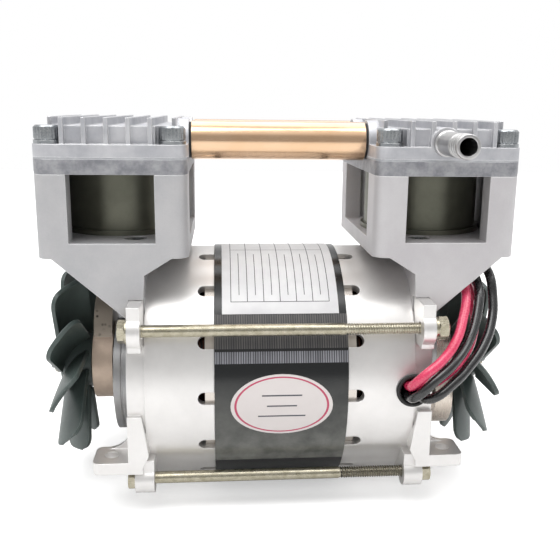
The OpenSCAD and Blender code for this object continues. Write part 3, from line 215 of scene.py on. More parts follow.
finishes = {
    # die-cast aluminium, shot-blasted: even satin grey with bright edges, part rubbed wear and part painted
    # highlight; the left case is a darker copy of the right, a painted shade
    "leftCaseAluminiumShaded": {"base": "#b5b5b7", "second": "#bfbebf", "rough": (0.5, 0.62), "patch": 16,
                          "edge": "#e9e9ea", "edgeWidth": 0.6, "metallic": 0.6},
    "rightCaseAluminiumLit": {"base": "#c3c0c2", "second": "#cbc9ca", "rough": (0.48, 0.6), "patch": 16,
                           "edge": "#f0efef", "edgeWidth": 0.6, "metallic": 0.6},
    "headAluminium": {"base": "#b3b4b9", "second": "#cbcbce", "rough": (0.42, 0.56), "patch": 12,
                      "edge": "#f6f6f6", "edgeWidth": 0.6, "depth": 0.06, "metallic": 0.7},
    "valvePlateAluminium": {"base": "#8a8b90", "second": "#adadb0", "patch": 5, "rough": (0.45, 0.65),
                            "edge": "#c2c2c4", "edgeWidth": 0.4, "grain": (0.9, 0.9, 0.7), "depth": 0.1,
                            "metallic": 0.8},
    # die-cast and turned bells: near-white satin metal with fine rings along the shaft
    "bellAluminium": {"base": "#dfdddb", "second": "#e8e6e4", "rough": (0.3, 0.42), "patch": 18,
                      "grain": (0.35, 5, 5), "depth": 0.02, "edge": "#f6f5f4", "edgeWidth": 0.5,
                      "metallic": 0.75},
    # hard-anodised aluminium: dark olive with a soft sheen
    "anodisedLiner": {"base": "#66675a", "second": "#707063", "rough": (0.3, 0.4), "metallic": 0.7,
                      "grain": (3, 3, 0.3), "depth": 0.02, "edge": "#6c6f66", "edgeWidth": 0.3},
    # gold-anodised tube: clear hard film over tinted metal, so white lights stay white on it
    "goldAnodisedTube": {"base": "#dfb892", "second": "#e6c3a1", "rough": (0.16, 0.22), "patch": 24,
                         "grain": (6, 0.4, 0.4), "depth": 0.006, "edge": "#f7d9b4", "edgeWidth": 0.4,
                         "shader": {"Coat Weight": 0.7, "Coat Roughness": 0.1}},
    # zinc-plated steel, darker in the thread roots: dirt and painted shade
    "zincSteel": {"base": "#a09a86", "second": "#b8b2a0", "rough": (0.22, 0.36), "patch": 3,
                  "grain": (2.5, 0.3, 0.3), "depth": 0.02, "edge": "#e6e2d6", "edgeWidth": 0.25,
                  "root": "#24211a"},
    # nickel-plated steel: bright tops, with dark roots between the knurls, painted shade and dirt
    "nickelSteel": {"base": "#989c9f", "second": "#adb0b2", "rough": (0.24, 0.36), "patch": 4,
                    "grain": (0.3, 0.3, 0.5), "depth": 0.02, "edge": "#f0f0f0", "edgeWidth": 0.3,
                    "root": "#33373a"},
    # turned and plated hose stub: soft rings round it
    "barbMetal": {"base": "#b4b3b3", "second": "#c3c2c1", "rough": (0.28, 0.4), "patch": 6,
                  "grain": (3, 0.3, 3), "depth": 0.02, "edge": "#ececec", "edgeWidth": 0.35},
    # ground bearing steel: clear reflections, drawn out round the shaft
    "groundSteel": {"base": "#9fa0a2", "second": "#acacad", "rough": (0.2, 0.32), "patch": 6,
                    "grain": (0.3, 3, 3), "depth": 0.015, "edge": "#dcdcdc", "edgeWidth": 0.2},
    # black-oxide steel: dark, with bright edges, part rubbed wear and part painted highlight
    "darkSteel": {"base": "#3d3e40", "second": "#4b4b4c", "rough": (0.35, 0.5), "patch": 5,
                  "grain": (0.3, 0.3, 0.3), "depth": 0.02, "edge": "#7d7d7d", "edgeWidth": 0.2},
    # iron sheets with cast bars, turned: dull grey rings
    "rotorIron": {"base": "#5c5a58", "second": "#6d6a66", "rough": (0.35, 0.5), "patch": 6,
                  "grain": (0.5, 4, 4), "depth": 0.03, "edge": "#8c8a88", "edgeWidth": 0.3},
    # sand-cast counterweight: machined tan hub, rough lobe with dark pits
    "castWeight": {"base": "#cbb7a5", "second": "#bfab9a", "rough": (0.32, 0.5), "patch": 5,
                   "zone": {"by": "radius", "from": 17.3, "to": 60, "colour": "#948a7e",
                            "pits": "#2f2822", "pitSize": 2.6, "pitOuter": 0.34, "pitInner": 0.16},
                   "edge": "#d8cabb", "edgeWidth": 0.4, "depth": 0.12, "metallic": 0.5},
    # turned counterweight: pale tan with fine rings
    "machinedWeight": {"base": "#cdc1b5", "second": "#d8cec3", "rough": (0.22, 0.34), "patch": 8,
                       "grain": (0.3, 4, 4), "depth": 0.008, "edge": "#f1e9e0", "edgeWidth": 0.4},
    # pressure-cast aluminium: plain grey, a little rough
    "rodAluminium": {"base": "#98989a", "second": "#a8a7a6", "rough": (0.34, 0.48), "patch": 7,
                     "grain": (0.5, 0.5, 0.5), "depth": 0.04, "edge": "#dcdbda", "edgeWidth": 0.5},
    # glass-filled nylon, moulded: slate green with a soft gloss and pale thin edges
    "fanNylon": {"base": "#434e4b", "second": "#505b58", "rough": (0.36, 0.46), "patch": 12,
                 "metallic": 0.0, "shader": {"IOR": 1.53}, "edge": "#7d8784", "edgeWidth": 0.45,
                 "grain": (0.8, 0.8, 0.8), "depth": 0.02},
    # moulded rubber: dull black
    "blackRubber": {"base": "#161616", "second": "#1f1f1f", "rough": (0.5, 0.65), "metallic": 0.0,
                    "shader": {"IOR": 1.52}, "grain": (0.5, 0.5, 0.5), "depth": 0.03},
    # coated fibre between plate and head, worn grey on its edge
    "gasketFibre": {"base": "#9a9ca0", "second": "#b2b3b6", "rough": (0.7, 0.85), "metallic": 0.0,
                    "shader": {"IOR": 1.5}, "grain": (0.5, 0.5, 0.5)},
    # filled polymer, pressed to a cup: waxy tan
    "sealPolymer": {"base": "#8f6b43", "second": "#a07a50", "rough": (0.4, 0.5), "metallic": 0.0,
                    "shader": {"IOR": 1.4}, "grain": (0.5, 0.5, 0.5), "depth": 0.02},
    # soft vinyl insulation: glossy, with slight scuffs along the lead
    "redVinyl": {"base": "#cf2f57", "second": "#dc4268", "rough": (0.22, 0.32), "metallic": 0.0,
                 "patch": 6, "shader": {"IOR": 1.54, "Coat Weight": 0.6, "Coat Roughness": 0.1},
                 "grain": (0.8, 0.8, 0.8), "depth": 0.006},
    "blackVinyl": {"base": "#0f0f11", "second": "#19191b", "rough": (0.22, 0.32), "metallic": 0.0,
                   "patch": 6, "shader": {"IOR": 1.54, "Coat Weight": 0.6, "Coat Roughness": 0.1},
                   "grain": (0.8, 0.8, 0.8), "depth": 0.006},
    # dipped vinyl sleeve: half gloss, paler at its edges
    "sleeveVinyl": {"base": "#b53243", "second": "#a82b3b", "rough": (0.3, 0.42), "metallic": 0.0,
                    "patch": 5, "shader": {"IOR": 1.54}, "edge": "#d8717d", "edgeWidth": 0.3,
                    "grain": (0.7, 0.7, 0.7), "depth": 0.02},
}
metal = {name: finishMaterial(name, facts) for name, facts in finishes.items()}


# Black lacquered laminations: fine stripes across the shaft in a band above the front, darker above its seam
# as painted shade and paler below it as painted sheen; smooth film below, turning paler grey towards the
# bottom as a painted reflection of the floor, and bare steel on the spigots that show through the notches of
# the bells; angles in degrees
stackFacts = {
    "lacquer": "#141617", "paintedFloorReflection": "#8e8f89", "worn": "#2b2b30", "upperBandShade": "#7b7873",
    "lowerBandSheen": "#bdbec6", "bare": "#cfc8c0", "seamColour": "#08080a",
    "lamination": 0.95,  # drawn coarser than the real 0.5 mm sheets, so that it shows
    "stripLow": 15.5, "stripHigh": 37.5, "seam": 21.3, "seamHalf": 0.6, "reflectionFrom": 10, "reflectionTo": -34,
    "lowEdge": -37, "spigot": 26.65, "outside": 60, "stripGrain": (2, 40, 40), "sheenAndGrime": 9.09,
    "filmRough": 0.2, "stripRough": 0.5, "relief": 0.4, "depth": 0.08,
}


def stackMaterial(facts):
    material, tree, shader = startMaterial("lacqueredLaminations", {"IOR": 1.5})
    place, _, angle = aroundShaft(tree)
    low, high, seam, seamHalf, reflectionFrom, reflectionTo, lowEdge = (math.radians(facts[k]) for k in (
        "stripLow", "stripHigh", "seam", "seamHalf", "reflectionFrom", "reflectionTo", "lowEdge"))
    inStrip = addNode(tree, "ShaderNodeMath", {"operation": "COMPARE"}, {
        0: angle, 1: (high + low) / 2, 2: (high - low) / 2}).outputs[0]
    inSeam = addNode(tree, "ShaderNodeMath", {"operation": "COMPARE"}, {0: angle, 1: seam, 2: seamHalf})
    sheets = addNode(tree, "ShaderNodeTexWave", {"bands_direction": "X"}, {
        "Vector": place, "Scale": bandsIn(facts["lamination"]), "Distortion": 0.6,
        "Detail": 1.0, "Detail Scale": 0.4})
    stretched = addNode(tree, "ShaderNodeMapping", inputs={
        "Vector": place, "Scale": [1 / (size * mm) for size in facts["stripGrain"]]})
    uneven = addNode(tree, "ShaderNodeTexNoise", inputs={
        "Vector": stretched.outputs["Vector"], "Scale": 1.0, "Detail": 2.0, "Roughness": 0.6})
    stripes = addNode(tree, "ShaderNodeMath", {"operation": "MULTIPLY"}, {
        0: sheets.outputs["Fac"], 1: uneven.outputs["Fac"]}).outputs[0]
    # strip tone: darker above the seam, a painted shade, and paler blue-grey below it, a painted sheen, with
    # the dark lines between sheets over both
    below = addNode(tree, "ShaderNodeMath", {"operation": "LESS_THAN"}, {0: angle, 1: seam})
    lit = addNode(tree, "ShaderNodeMix", {"data_type": "RGBA"}, {
        0: below.outputs[0], 6: linear(facts["upperBandShade"]), 7: linear(facts["lowerBandSheen"])})
    striped = addNode(tree, "ShaderNodeMix", {"data_type": "RGBA"}, {
        0: stripes, 6: linear(facts["worn"]), 7: lit.outputs[2]})
    # painted reflection of the floor: the film turns paler grey from 10 degrees above the front down to 34
    # degrees below it, in mottled patches, and is black again further down
    sheenAndGrime = addNode(tree, "ShaderNodeTexNoise", inputs={
        "Vector": place, "Scale": 1 / (facts["sheenAndGrime"] * mm), "Detail": 4.0, "Roughness": 0.6})
    reflectionRamp = addNode(tree, "ShaderNodeMapRange", inputs={
        "Value": angle, "From Min": reflectionFrom, "From Max": reflectionTo})
    noiseWeighted = addNode(tree, "ShaderNodeMath", {"operation": "MULTIPLY"}, {
        0: reflectionRamp.outputs["Result"], 1: sheenAndGrime.outputs["Fac"]})
    film = addNode(tree, "ShaderNodeMix", {"data_type": "RGBA"}, {
        0: noiseWeighted.outputs[0], 6: linear(facts["lacquer"]), 7: linear(facts["paintedFloorReflection"])})
    under = addNode(tree, "ShaderNodeMath", {"operation": "LESS_THAN"}, {0: angle, 1: lowEdge})
    film = addNode(tree, "ShaderNodeMix", {"data_type": "RGBA"}, {
        0: under.outputs[0], 6: film.outputs[2], 7: linear(facts["lacquer"])})
    body = addNode(tree, "ShaderNodeMix", {"data_type": "RGBA"}, {
        0: inStrip, 6: film.outputs[2], 7: striped.outputs[2]})
    seamed = addNode(tree, "ShaderNodeMix", {"data_type": "RGBA"}, {
        0: inSeam.outputs[0], 6: body.outputs[2], 7: linear(facts["seamColour"])})
    spigot = zoneMask(tree, place, {"by": "x", "from": facts["spigot"], "to": facts["outside"]})
    whole = addNode(tree, "ShaderNodeMix", {"data_type": "RGBA"}, {
        0: spigot, 6: seamed.outputs[2], 7: linear(facts["bare"])})
    tree.links.new(whole.outputs[2], shader.inputs["Base Color"])
    tree.links.new(spigot, shader.inputs["Metallic"])
    rough = addNode(tree, "ShaderNodeMapRange", inputs={
        "Value": inStrip, "To Min": facts["filmRough"], "To Max": facts["stripRough"]})
    tree.links.new(rough.outputs["Result"], shader.inputs["Roughness"])
    height = addNode(tree, "ShaderNodeMath", {"operation": "MULTIPLY"}, {0: stripes, 1: inStrip})
    bump = addNode(tree, "ShaderNodeBump", inputs={
        "Strength": facts["relief"], "Distance": facts["depth"] * mm, "Height": height.outputs[0]})
    tree.links.new(bump.outputs["Normal"], shader.inputs["Normal"])
    return material


# Enamelled copper: strands side by side round the end turns, dark where the varnish lies between them
windingFacts = {
    "copper": "#5c3220", "varnish": "#2a1a14", "crestRough": 0.28, "hollowRough": 0.5, "depth": 0.3,
    "strand": 1.776,  # about 0.6 mm in such motors, drawn coarser so that it shows
}


def windingMaterial(facts):
    material, tree, shader = startMaterial("enamelledCopper", {"Metallic": 0.6, "Coat Weight": 0.3})
    place = addNode(tree, "ShaderNodeTexCoord").outputs["Object"]
    strands = addNode(tree, "ShaderNodeTexWave", {"bands_direction": "X"}, {
        "Vector": place, "Scale": bandsIn(facts["strand"]), "Distortion": 2.5,
        "Detail": 2.0, "Detail Scale": 1.5}).outputs["Fac"]
    colour = addNode(tree, "ShaderNodeMix", {"data_type": "RGBA"}, {
        0: strands, 6: linear(facts["varnish"]), 7: linear(facts["copper"])})
    tree.links.new(colour.outputs[2], shader.inputs["Base Color"])
    rough = addNode(tree, "ShaderNodeMapRange", inputs={
        "Value": strands, "To Min": facts["hollowRough"], "To Max": facts["crestRough"]})
    tree.links.new(rough.outputs["Result"], shader.inputs["Roughness"])
    bump = addNode(tree, "ShaderNodeBump", inputs={
        "Strength": 0.8, "Distance": facts["depth"] * mm, "Height": strands})
    tree.links.new(bump.outputs["Normal"], shader.inputs["Normal"])
    return material


# Printed labels: plain ruled forms on glossy white vinyl, left blank; angles in degrees
ratingFacts = {
    "paper": "#c3c2c5", "secondPaper": "#e6e6e6", "ink": "#2c2c30", "smudge": 11.11, "rough": (0.28, 0.4),
    "halfWidth": 19.9, "columns": 6, "line": 0.3, "radius": 51.8,
    "lowAngle": 43.5, "highAngle": 136.5, "splitAngle": 81.0,
    # a faint rule in each column stands for its print
    "printHalf": 0.14, "printLow": 47.0, "printHigh": 76.0,
    "printShares": (1.02, 0.989, 1.009, 0.979, 0.998, 0.969),
}


def ratingMaterial(facts):
    material, tree, shader = startMaterial("ruledVinylLabel", {"Metallic": 0.0, "IOR": 1.48})
    place, x, angle = aroundShaft(tree)
    around = addNode(tree, "ShaderNodeMath", {"operation": "MULTIPLY"}, {
        0: angle, 1: facts["radius"] * mm}).outputs[0]
    low, high, split, printLow, printHigh = (math.radians(facts[k]) * facts["radius"] * mm for k in (
        "lowAngle", "highAngle", "splitAngle", "printLow", "printHigh"))
    half = facts["line"] / 2 * mm
    edge = facts["halfWidth"] * mm
    pitch = 2 * edge / facts["columns"]
    insideAcross = addNode(tree, "ShaderNodeMath", {"operation": "COMPARE"}, {0: x, 1: 0.0, 2: edge + half})
    insideAround = addNode(tree, "ShaderNodeMath", {"operation": "COMPARE"}, {
        0: around, 1: (low + high) / 2, 2: (high - low) / 2 + half})
    marks = []
    for i in range(facts["columns"] + 1):
        column = addNode(tree, "ShaderNodeMath", {"operation": "COMPARE"}, {
            0: x, 1: i * pitch - edge, 2: half})
        marks.append(addNode(tree, "ShaderNodeMath", {"operation": "MULTIPLY"}, {
            0: column.outputs[0], 1: insideAround.outputs[0]}))
    for i, share in enumerate(facts["printShares"]):
        printHalf = (printHigh - printLow) / 2 * share
        rule = addNode(tree, "ShaderNodeMath", {"operation": "COMPARE"}, {
            0: x, 1: (i + 0.5) * pitch - edge, 2: facts["printHalf"] * mm})
        part = addNode(tree, "ShaderNodeMath", {"operation": "COMPARE"}, {
            0: around, 1: printLow + printHalf, 2: printHalf})
        marks.append(addNode(tree, "ShaderNodeMath", {"operation": "MULTIPLY"}, {
            0: rule.outputs[0], 1: part.outputs[0]}))
    for height in (low, high, split):
        row = addNode(tree, "ShaderNodeMath", {"operation": "COMPARE"}, {0: around, 1: height, 2: half})
        marks.append(addNode(tree, "ShaderNodeMath", {"operation": "MULTIPLY"}, {
            0: row.outputs[0], 1: insideAcross.outputs[0]}))
    total = marks[0]
    for mark in marks[1:]:
        total = addNode(tree, "ShaderNodeMath", {"operation": "MAXIMUM"}, {
            0: total.outputs[0], 1: mark.outputs[0]})
    smudge = addNode(tree, "ShaderNodeTexNoise", inputs={
        "Vector": place, "Scale": 1 / (facts["smudge"] * mm), "Detail": 3.0, "Roughness": 0.6})
    paper = addNode(tree, "ShaderNodeMix", {"data_type": "RGBA"}, {
        0: smudge.outputs["Fac"], 6: linear(facts["paper"]), 7: linear(facts["secondPaper"])})
    printed = addNode(tree, "ShaderNodeMix", {"data_type": "RGBA"}, {
        0: total.outputs[0], 6: paper.outputs[2], 7: linear(facts["ink"])})
    tree.links.new(printed.outputs[2], shader.inputs["Base Color"])
    rough = addNode(tree, "ShaderNodeMapRange", inputs={
        "Value": smudge.outputs["Fac"], "To Min": facts["rough"][0], "To Max": facts["rough"][1]})
    tree.links.new(rough.outputs["Result"], shader.inputs["Roughness"])
    return material


ovalFacts = {
    "paper": "#d2cbc9", "secondPaper": "#dcd5d3", "ring": "#b84462", "ink": "#4a4a50", "smudge": 8.33,
    "rough": (0.3, 0.42), "radius": 51.8, "halfWidth": 20.4, "middleAngle": -3.65, "halfAngle": 14.45,
    "ringAt": 0.905, "ringHalf": 0.022,  # as shares of the label's half size
    "rules": ((4.4, 8.0), (0.0, 6.0), (-4.4, 9.5)),  # height and half length of each
    "ruleHalf": 0.3,
}


def ovalMaterial(facts):
    material, tree, shader = startMaterial("ovalVinylLabel", {"Metallic": 0.0, "IOR": 1.48})
    place, x, angle = aroundShaft(tree)
    fromMiddle = addNode(tree, "ShaderNodeMath", {"operation": "SUBTRACT"}, {
        0: angle, 1: math.radians(facts["middleAngle"])})
    up = addNode(tree, "ShaderNodeMath", {"operation": "MULTIPLY"}, {
        0: fromMiddle.outputs[0], 1: facts["radius"] * mm}).outputs[0]
    halfHeight = math.radians(facts["halfAngle"]) * facts["radius"] * mm
    across = addNode(tree, "ShaderNodeMath", {"operation": "DIVIDE"}, {0: x, 1: facts["halfWidth"] * mm})
    along = addNode(tree, "ShaderNodeMath", {"operation": "DIVIDE"}, {0: up, 1: halfHeight})
    pair = addNode(tree, "ShaderNodeCombineXYZ", inputs={"X": across.outputs[0], "Y": along.outputs[0]})
    away = addNode(tree, "ShaderNodeVectorMath", {"operation": "LENGTH"}, {0: pair.outputs["Vector"]})
    ring = addNode(tree, "ShaderNodeMath", {"operation": "COMPARE"}, {
        0: away.outputs["Value"], 1: facts["ringAt"], 2: facts["ringHalf"]})
    marks = []
    for height, reach in facts["rules"]:
        row = addNode(tree, "ShaderNodeMath", {"operation": "COMPARE"}, {
            0: up, 1: height * mm, 2: facts["ruleHalf"] * mm})
        inside = addNode(tree, "ShaderNodeMath", {"operation": "COMPARE"}, {0: x, 1: 0.0, 2: reach * mm})
        marks.append(addNode(tree, "ShaderNodeMath", {"operation": "MULTIPLY"}, {
            0: row.outputs[0], 1: inside.outputs[0]}))
    total = marks[0]
    for mark in marks[1:]:
        total = addNode(tree, "ShaderNodeMath", {"operation": "MAXIMUM"}, {
            0: total.outputs[0], 1: mark.outputs[0]})
    smudge = addNode(tree, "ShaderNodeTexNoise", inputs={
        "Vector": place, "Scale": 1 / (facts["smudge"] * mm), "Detail": 3.0, "Roughness": 0.6})
    paper = addNode(tree, "ShaderNodeMix", {"data_type": "RGBA"}, {
        0: smudge.outputs["Fac"], 6: linear(facts["paper"]), 7: linear(facts["secondPaper"])})
    ruled = addNode(tree, "ShaderNodeMix", {"data_type": "RGBA"}, {
        0: total.outputs[0], 6: paper.outputs[2], 7: linear(facts["ink"])})
    ringed = addNode(tree, "ShaderNodeMix", {"data_type": "RGBA"}, {
        0: ring.outputs[0], 6: ruled.outputs[2], 7: linear(facts["ring"])})
    tree.links.new(ringed.outputs[2], shader.inputs["Base Color"])
    rough = addNode(tree, "ShaderNodeMapRange", inputs={
        "Value": smudge.outputs["Fac"], "To Min": facts["rough"][0], "To Max": facts["rough"][1]})
    tree.links.new(rough.outputs["Result"], shader.inputs["Roughness"])
    return material


metal["lacqueredLaminations"] = stackMaterial(stackFacts)
metal["enamelledCopper"] = windingMaterial(windingFacts)
metal["ruledVinylLabel"] = ratingMaterial(ratingFacts)
metal["ovalVinylLabel"] = ovalMaterial(ovalFacts)

cadFinishes = {
    "stator_core": "lacqueredLaminations", "stator_windings": "enamelledCopper",
    "left_end_bell": "bellAluminium", "right_end_bell": "bellAluminium",
    "through_bolt_washers": "zincSteel", "left_crankcase": "leftCaseAluminiumShaded",
    "right_crankcase": "rightCaseAluminiumLit", "left_cylinder_liner": "anodisedLiner",
    "right_cylinder_liner": "anodisedLiner", "left_valve_plate": "valvePlateAluminium",
    "right_valve_plate": "valvePlateAluminium", "reed_valves": "groundSteel",
    "reed_stops": "groundSteel", "reed_rivets": "groundSteel", "head_gaskets": "gasketFibre",
    "left_head": "headAluminium", "right_head": "headAluminium", "head_screw_washers": "nickelSteel",
    "front_transfer_tube": "goldAnodisedTube", "rear_transfer_tube": "goldAnodisedTube",
    "tube_seal_rings": "blackRubber", "main_bearing_outer_rings": "groundSteel",
    "main_bearing_shields": "groundSteel", "rating_label": "ruledVinylLabel",
    "inspection_label": "ovalVinylLabel", "shaft": "groundSteel", "rotor_core": "rotorIron",
    "main_bearing_inner_rings": "groundSteel", "bearing_balls": "groundSteel",
    "crank_bearing_inner_rings": "groundSteel", "left_eccentric": "castWeight",
    "right_eccentric": "machinedWeight", "left_connecting_rod": "rodAluminium",
    "left_crank_bearing_ring": "groundSteel", "right_connecting_rod": "rodAluminium",
    "right_crank_bearing_ring": "groundSteel", "left_piston": "rodAluminium",
    "left_cup_seal": "sealPolymer", "left_seal_retainer": "rodAluminium",
    "left_piston_screw": "darkSteel", "right_piston": "rodAluminium", "right_cup_seal": "sealPolymer",
    "right_seal_retainer": "rodAluminium", "right_piston_screw": "darkSteel",
}
for nodeName, finish in cadFinishes.items():
    for holder in nodes[nodeName].material_slots:
        holder.material = metal[finish]
print("materials:", len(metal))


# Leads: the routes of the model, in millimetres
leadFacts = {"diameter": 3.9, "exit": (53, -52.4, 52.5), "roundness": 5, "steps": 6}
leadRoutes = {
    "red_lead_a": [
        (44, -40.4, 54.6), (48.7, -42.6, 54.6), (50.9, -47.4, 54.6), (51, -53, 54.8),
        (51.3, -58.6, 57.7), (54.7, -61, 62.4), (61.4, -59.4, 67.4), (68.5, -54, 74.1),
        (72.6, -48, 81.2), (75.7, -41, 88.4), (76.3, -33, 94.1), (75.9, -18, 97.9), (75.6, 0, 98.8),
        (75.4, 18, 97.4), (74.4, 34, 92), (73, 47, 84), (69, 58.4, 71), (61, 65, 56), (54, 67, 40.6),
        (47, 68, 24.6), (40, 70, 9.4), (31, 73.6, 2.2)],
    "black_lead_a": [
        (44, -40.4, 50.4), (48.7, -42.6, 50.4), (50.9, -47.4, 50.4), (51, -53, 50.3),
        (52.4, -59.8, 53.3), (58.7, -61.6, 60.2), (66, -59, 65.6), (74.1, -52, 72.8),
        (79, -45.5, 81.5), (81.6, -38.5, 91), (81.4, -29, 96.6), (80.4, -15, 98.8), (79.6, 2, 99.2),
        (79.5, 19, 98), (79, 35.5, 92.6), (77.4, 50, 83.6), (73, 62.4, 70), (65, 69, 55),
        (58, 71, 39.4), (51, 72, 23.4), (43.6, 75, 8.6), (33, 80, 2.2)],
    "red_lead_b": [
        (44, -36.2, 54.6), (51.9, -39.1, 54.6), (55.1, -47.2, 54.6), (55.2, -52.8, 54.6),
        (57.6, -56.8, 56.7), (65.2, -55.9, 60.8), (71.7, -52.9, 66.4), (77.6, -46, 72.6),
        (80.2, -39.6, 81), (80, -33, 88.8), (78.8, -24.9, 93), (77.8, -10, 94.6), (77.6, 6, 94.8),
        (77.6, 21, 93), (76.6, 34.4, 87.6), (75.4, 46.4, 78), (72, 56.4, 64), (65.6, 61.4, 49),
        (58.4, 62.4, 34), (51, 62.6, 19), (43, 63.6, 6), (32, 66.6, 2.2)],
    "black_lead_b": [
        (44, -36.2, 50.4), (51.9, -39.1, 50.4), (55.1, -47.2, 50.4), (55.2, -53, 50.5),
        (58.8, -59.4, 52.2), (66.7, -59.1, 58), (74.1, -55.1, 63.5), (81, -50.4, 70.6),
        (85.6, -45, 79), (87.2, -40, 88), (86.7, -34.6, 97), (85.4, -21, 99.4), (84, -4, 99.8),
        (83.7, 14, 99.2), (83.4, 31, 95), (83, 46, 85), (80, 60, 72), (73, 70, 57), (65, 75, 41.6),
        (57.6, 76.6, 25.6), (50, 79, 9.6), (40, 86, 2.2)],
}


def bridge(part, loops, closed=False):
    # adds a skin over loops of points, each with as many points, and caps its ends unless they meet
    points, faces = part
    first = len(points)
    count = len(loops[0])
    for loop in loops:
        points.extend(loop)
    rows = len(loops) if closed else len(loops) - 1
    for i in range(rows):
        a = first + i * count
        b = first + (i + 1) % len(loops) * count
        for k in range(count):
            n = (k + 1) % count
            faces.append((a + k, a + n, b + n, b + k))
    if not closed:
        faces.append(tuple(first + k for k in reversed(range(count))))
        faces.append(tuple(first + rows * count + k for k in range(count)))


def makePiece(name, part, finish, body, replaced, crease=35):
    points, faces = part
    mesh = bpy.data.meshes.new(name)
    mesh.from_pydata([Vector(p) * mm for p in points], [], faces)
    shape = bmesh.new()
    shape.from_mesh(mesh)
    bmesh.ops.recalc_face_normals(shape, faces=shape.faces)
    shape.to_mesh(mesh)
    shape.free()
    mesh.shade_smooth()
    mesh.set_sharp_from_angle(angle=math.radians(crease))
    mesh.materials.append(metal[finish])
    piece = bpy.data.objects.new(name, mesh)
    bpy.context.scene.collection.objects.link(piece)
    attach(piece, body)
    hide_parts(*replaced)
    return piece


# Insulated female terminal: a soft sleeve over the crimp, and the tab socket inside its mouth
sleeveFacts = {
    "rise": 0.85, "sides": 24,
    "outline": [  # distance along, half width, half height, how square, rise
        (1.15, 2.05, 2.0, 2, -0.7), (1.5, 2.5, 2.4, 2.2, -0.4), (2.2, 2.8, 2.7, 2.6, 0),
        (4.6, 2.85, 2.75, 3, 0), (5.4, 2.6, 2.3, 3.4, 0), (6.2, 2.85, 2.5, 4, 0), (11.2, 2.85, 2.5, 4, 0),
        (11.9, 2.7, 2.35, 4, 0), (11.9, 2.3, 1.2, 4, 0), (7.0, 2.2, 1.1, 4, 0)],
}


def makeSleeve(name, route, finish, facts):
    last = Vector(route[-1])
    along = last - Vector(route[-2])
    along.z = 0
    along.normalize()
    side = along.cross(Vector((0, 0, 1))).normalized()
    up = side.cross(along)
    centre = last + Vector((0, 0, facts["rise"]))
    part = ([], [])
    loops = []
    for reach, wide, high, power, rise in facts["outline"]:
        loop = []
        for k in range(facts["sides"]):
            a = math.tau * k / facts["sides"]
            x = math.copysign(abs(math.cos(a)) ** (2 / power), math.cos(a)) * wide
            z = math.copysign(abs(math.sin(a)) ** (2 / power), math.sin(a)) * high
            loop.append(centre + along * reach + side * x + up * (z + rise))
        loops.append(loop)
    bridge(part, loops)
    return makePiece(name, part, finish, "pump", ["lead_terminals"])


def makeLead(name, route, finish, facts):
    curve = bpy.data.curves.new(name + "_wire", "CURVE")
    curve.dimensions = "3D"
    curve.bevel_depth = facts["diameter"] / 2 * mm
    curve.bevel_resolution = facts["roundness"]
    curve.resolution_u = facts["steps"]
    curve.use_fill_caps = True
    spline = curve.splines.new("BEZIER")
    spline.bezier_points.add(len(route) - 1)
    for point, at in zip(spline.bezier_points, route):
        point.co = Vector(at) * mm
        point.handle_left_type = point.handle_right_type = "AUTO"
    curve.materials.append(metal[finish])
    lead = bpy.data.objects.new(name + "_wire", curve)
    bpy.context.scene.collection.objects.link(lead)
    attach(lead, "pump")
    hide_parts(name)
    sleeve = makeSleeve(name + "_terminal", route, "sleeveVinyl", sleeveFacts)


for leadName, leadRoute in leadRoutes.items():
    isRed = leadName.startswith("red")
    makeLead(leadName, leadRoute, "redVinyl" if isRed else "blackVinyl",
             leadFacts)
print("leads done")


axisWays = {  # along the axis, then the two directions across it
    "x": ((1, 0, 0), (0, 1, 0), (0, 0, 1)), "-x": ((-1, 0, 0), (0, 1, 0), (0, 0, 1)),
    "y": ((0, 1, 0), (1, 0, 0), (0, 0, 1)), "-y": ((0, -1, 0), (1, 0, 0), (0, 0, 1)),
    "z": ((0, 0, 1), (1, 0, 0), (0, 1, 0)),
}


def ringPoint(place, axis, height, radius, angle):
    along, u, v = (Vector(way) for way in axisWays[axis])
    return Vector(place) + along * height + (u * math.cos(angle) + v * math.sin(angle)) * radius


def ringLoop(place, axis, height, radius, sides):
    # height and radius are numbers or functions of the angle
    loop = []
    for k in range(sides):
        a = math.tau * k / sides
        h = height(a) if callable(height) else height
        r = radius(a, k) if callable(radius) else radius
        loop.append(ringPoint(place, axis, h, r, a))
    return loop


def turned(part, place, axis, outline, sides=48, closed=False):
    bridge(part, [ringLoop(place, axis, h, r, sides) for h, r in outline], closed)


def hexRadius(flats):
    return lambda a, k=0: flats / 2 / math.cos((a + math.pi / 6) % (math.pi / 3) - math.pi / 6)


# Hexagon heads and nuts: turned chamfers, so that each corner ends in an arc
hexFacts = {"flatShare": 0.99, "chamferShare": 0.55, "mouth": 0.35}


def chamferedHex(part, place, axis, flats, low, high, bore=0):
    corner = hexRadius(flats)
    flat = flats / 2 * hexFacts["flatShare"]
    mouth = hexFacts["mouth"]

    def drop(a):
        return max(0, corner(a) - flat) * hexFacts["chamferShare"]

    def cut(a, k):
        return min(corner(a), flat)

    outline = [
        (low, cut), (lambda a: low + drop(a), corner), (lambda a: high - drop(a), corner), (high, cut)]
    if bore:
        outline += [(high, bore + mouth), (high - mouth, bore), (low + mouth, bore), (low, bore + mouth)]
    turned(part, place, axis, outline, closed=bore > 0)


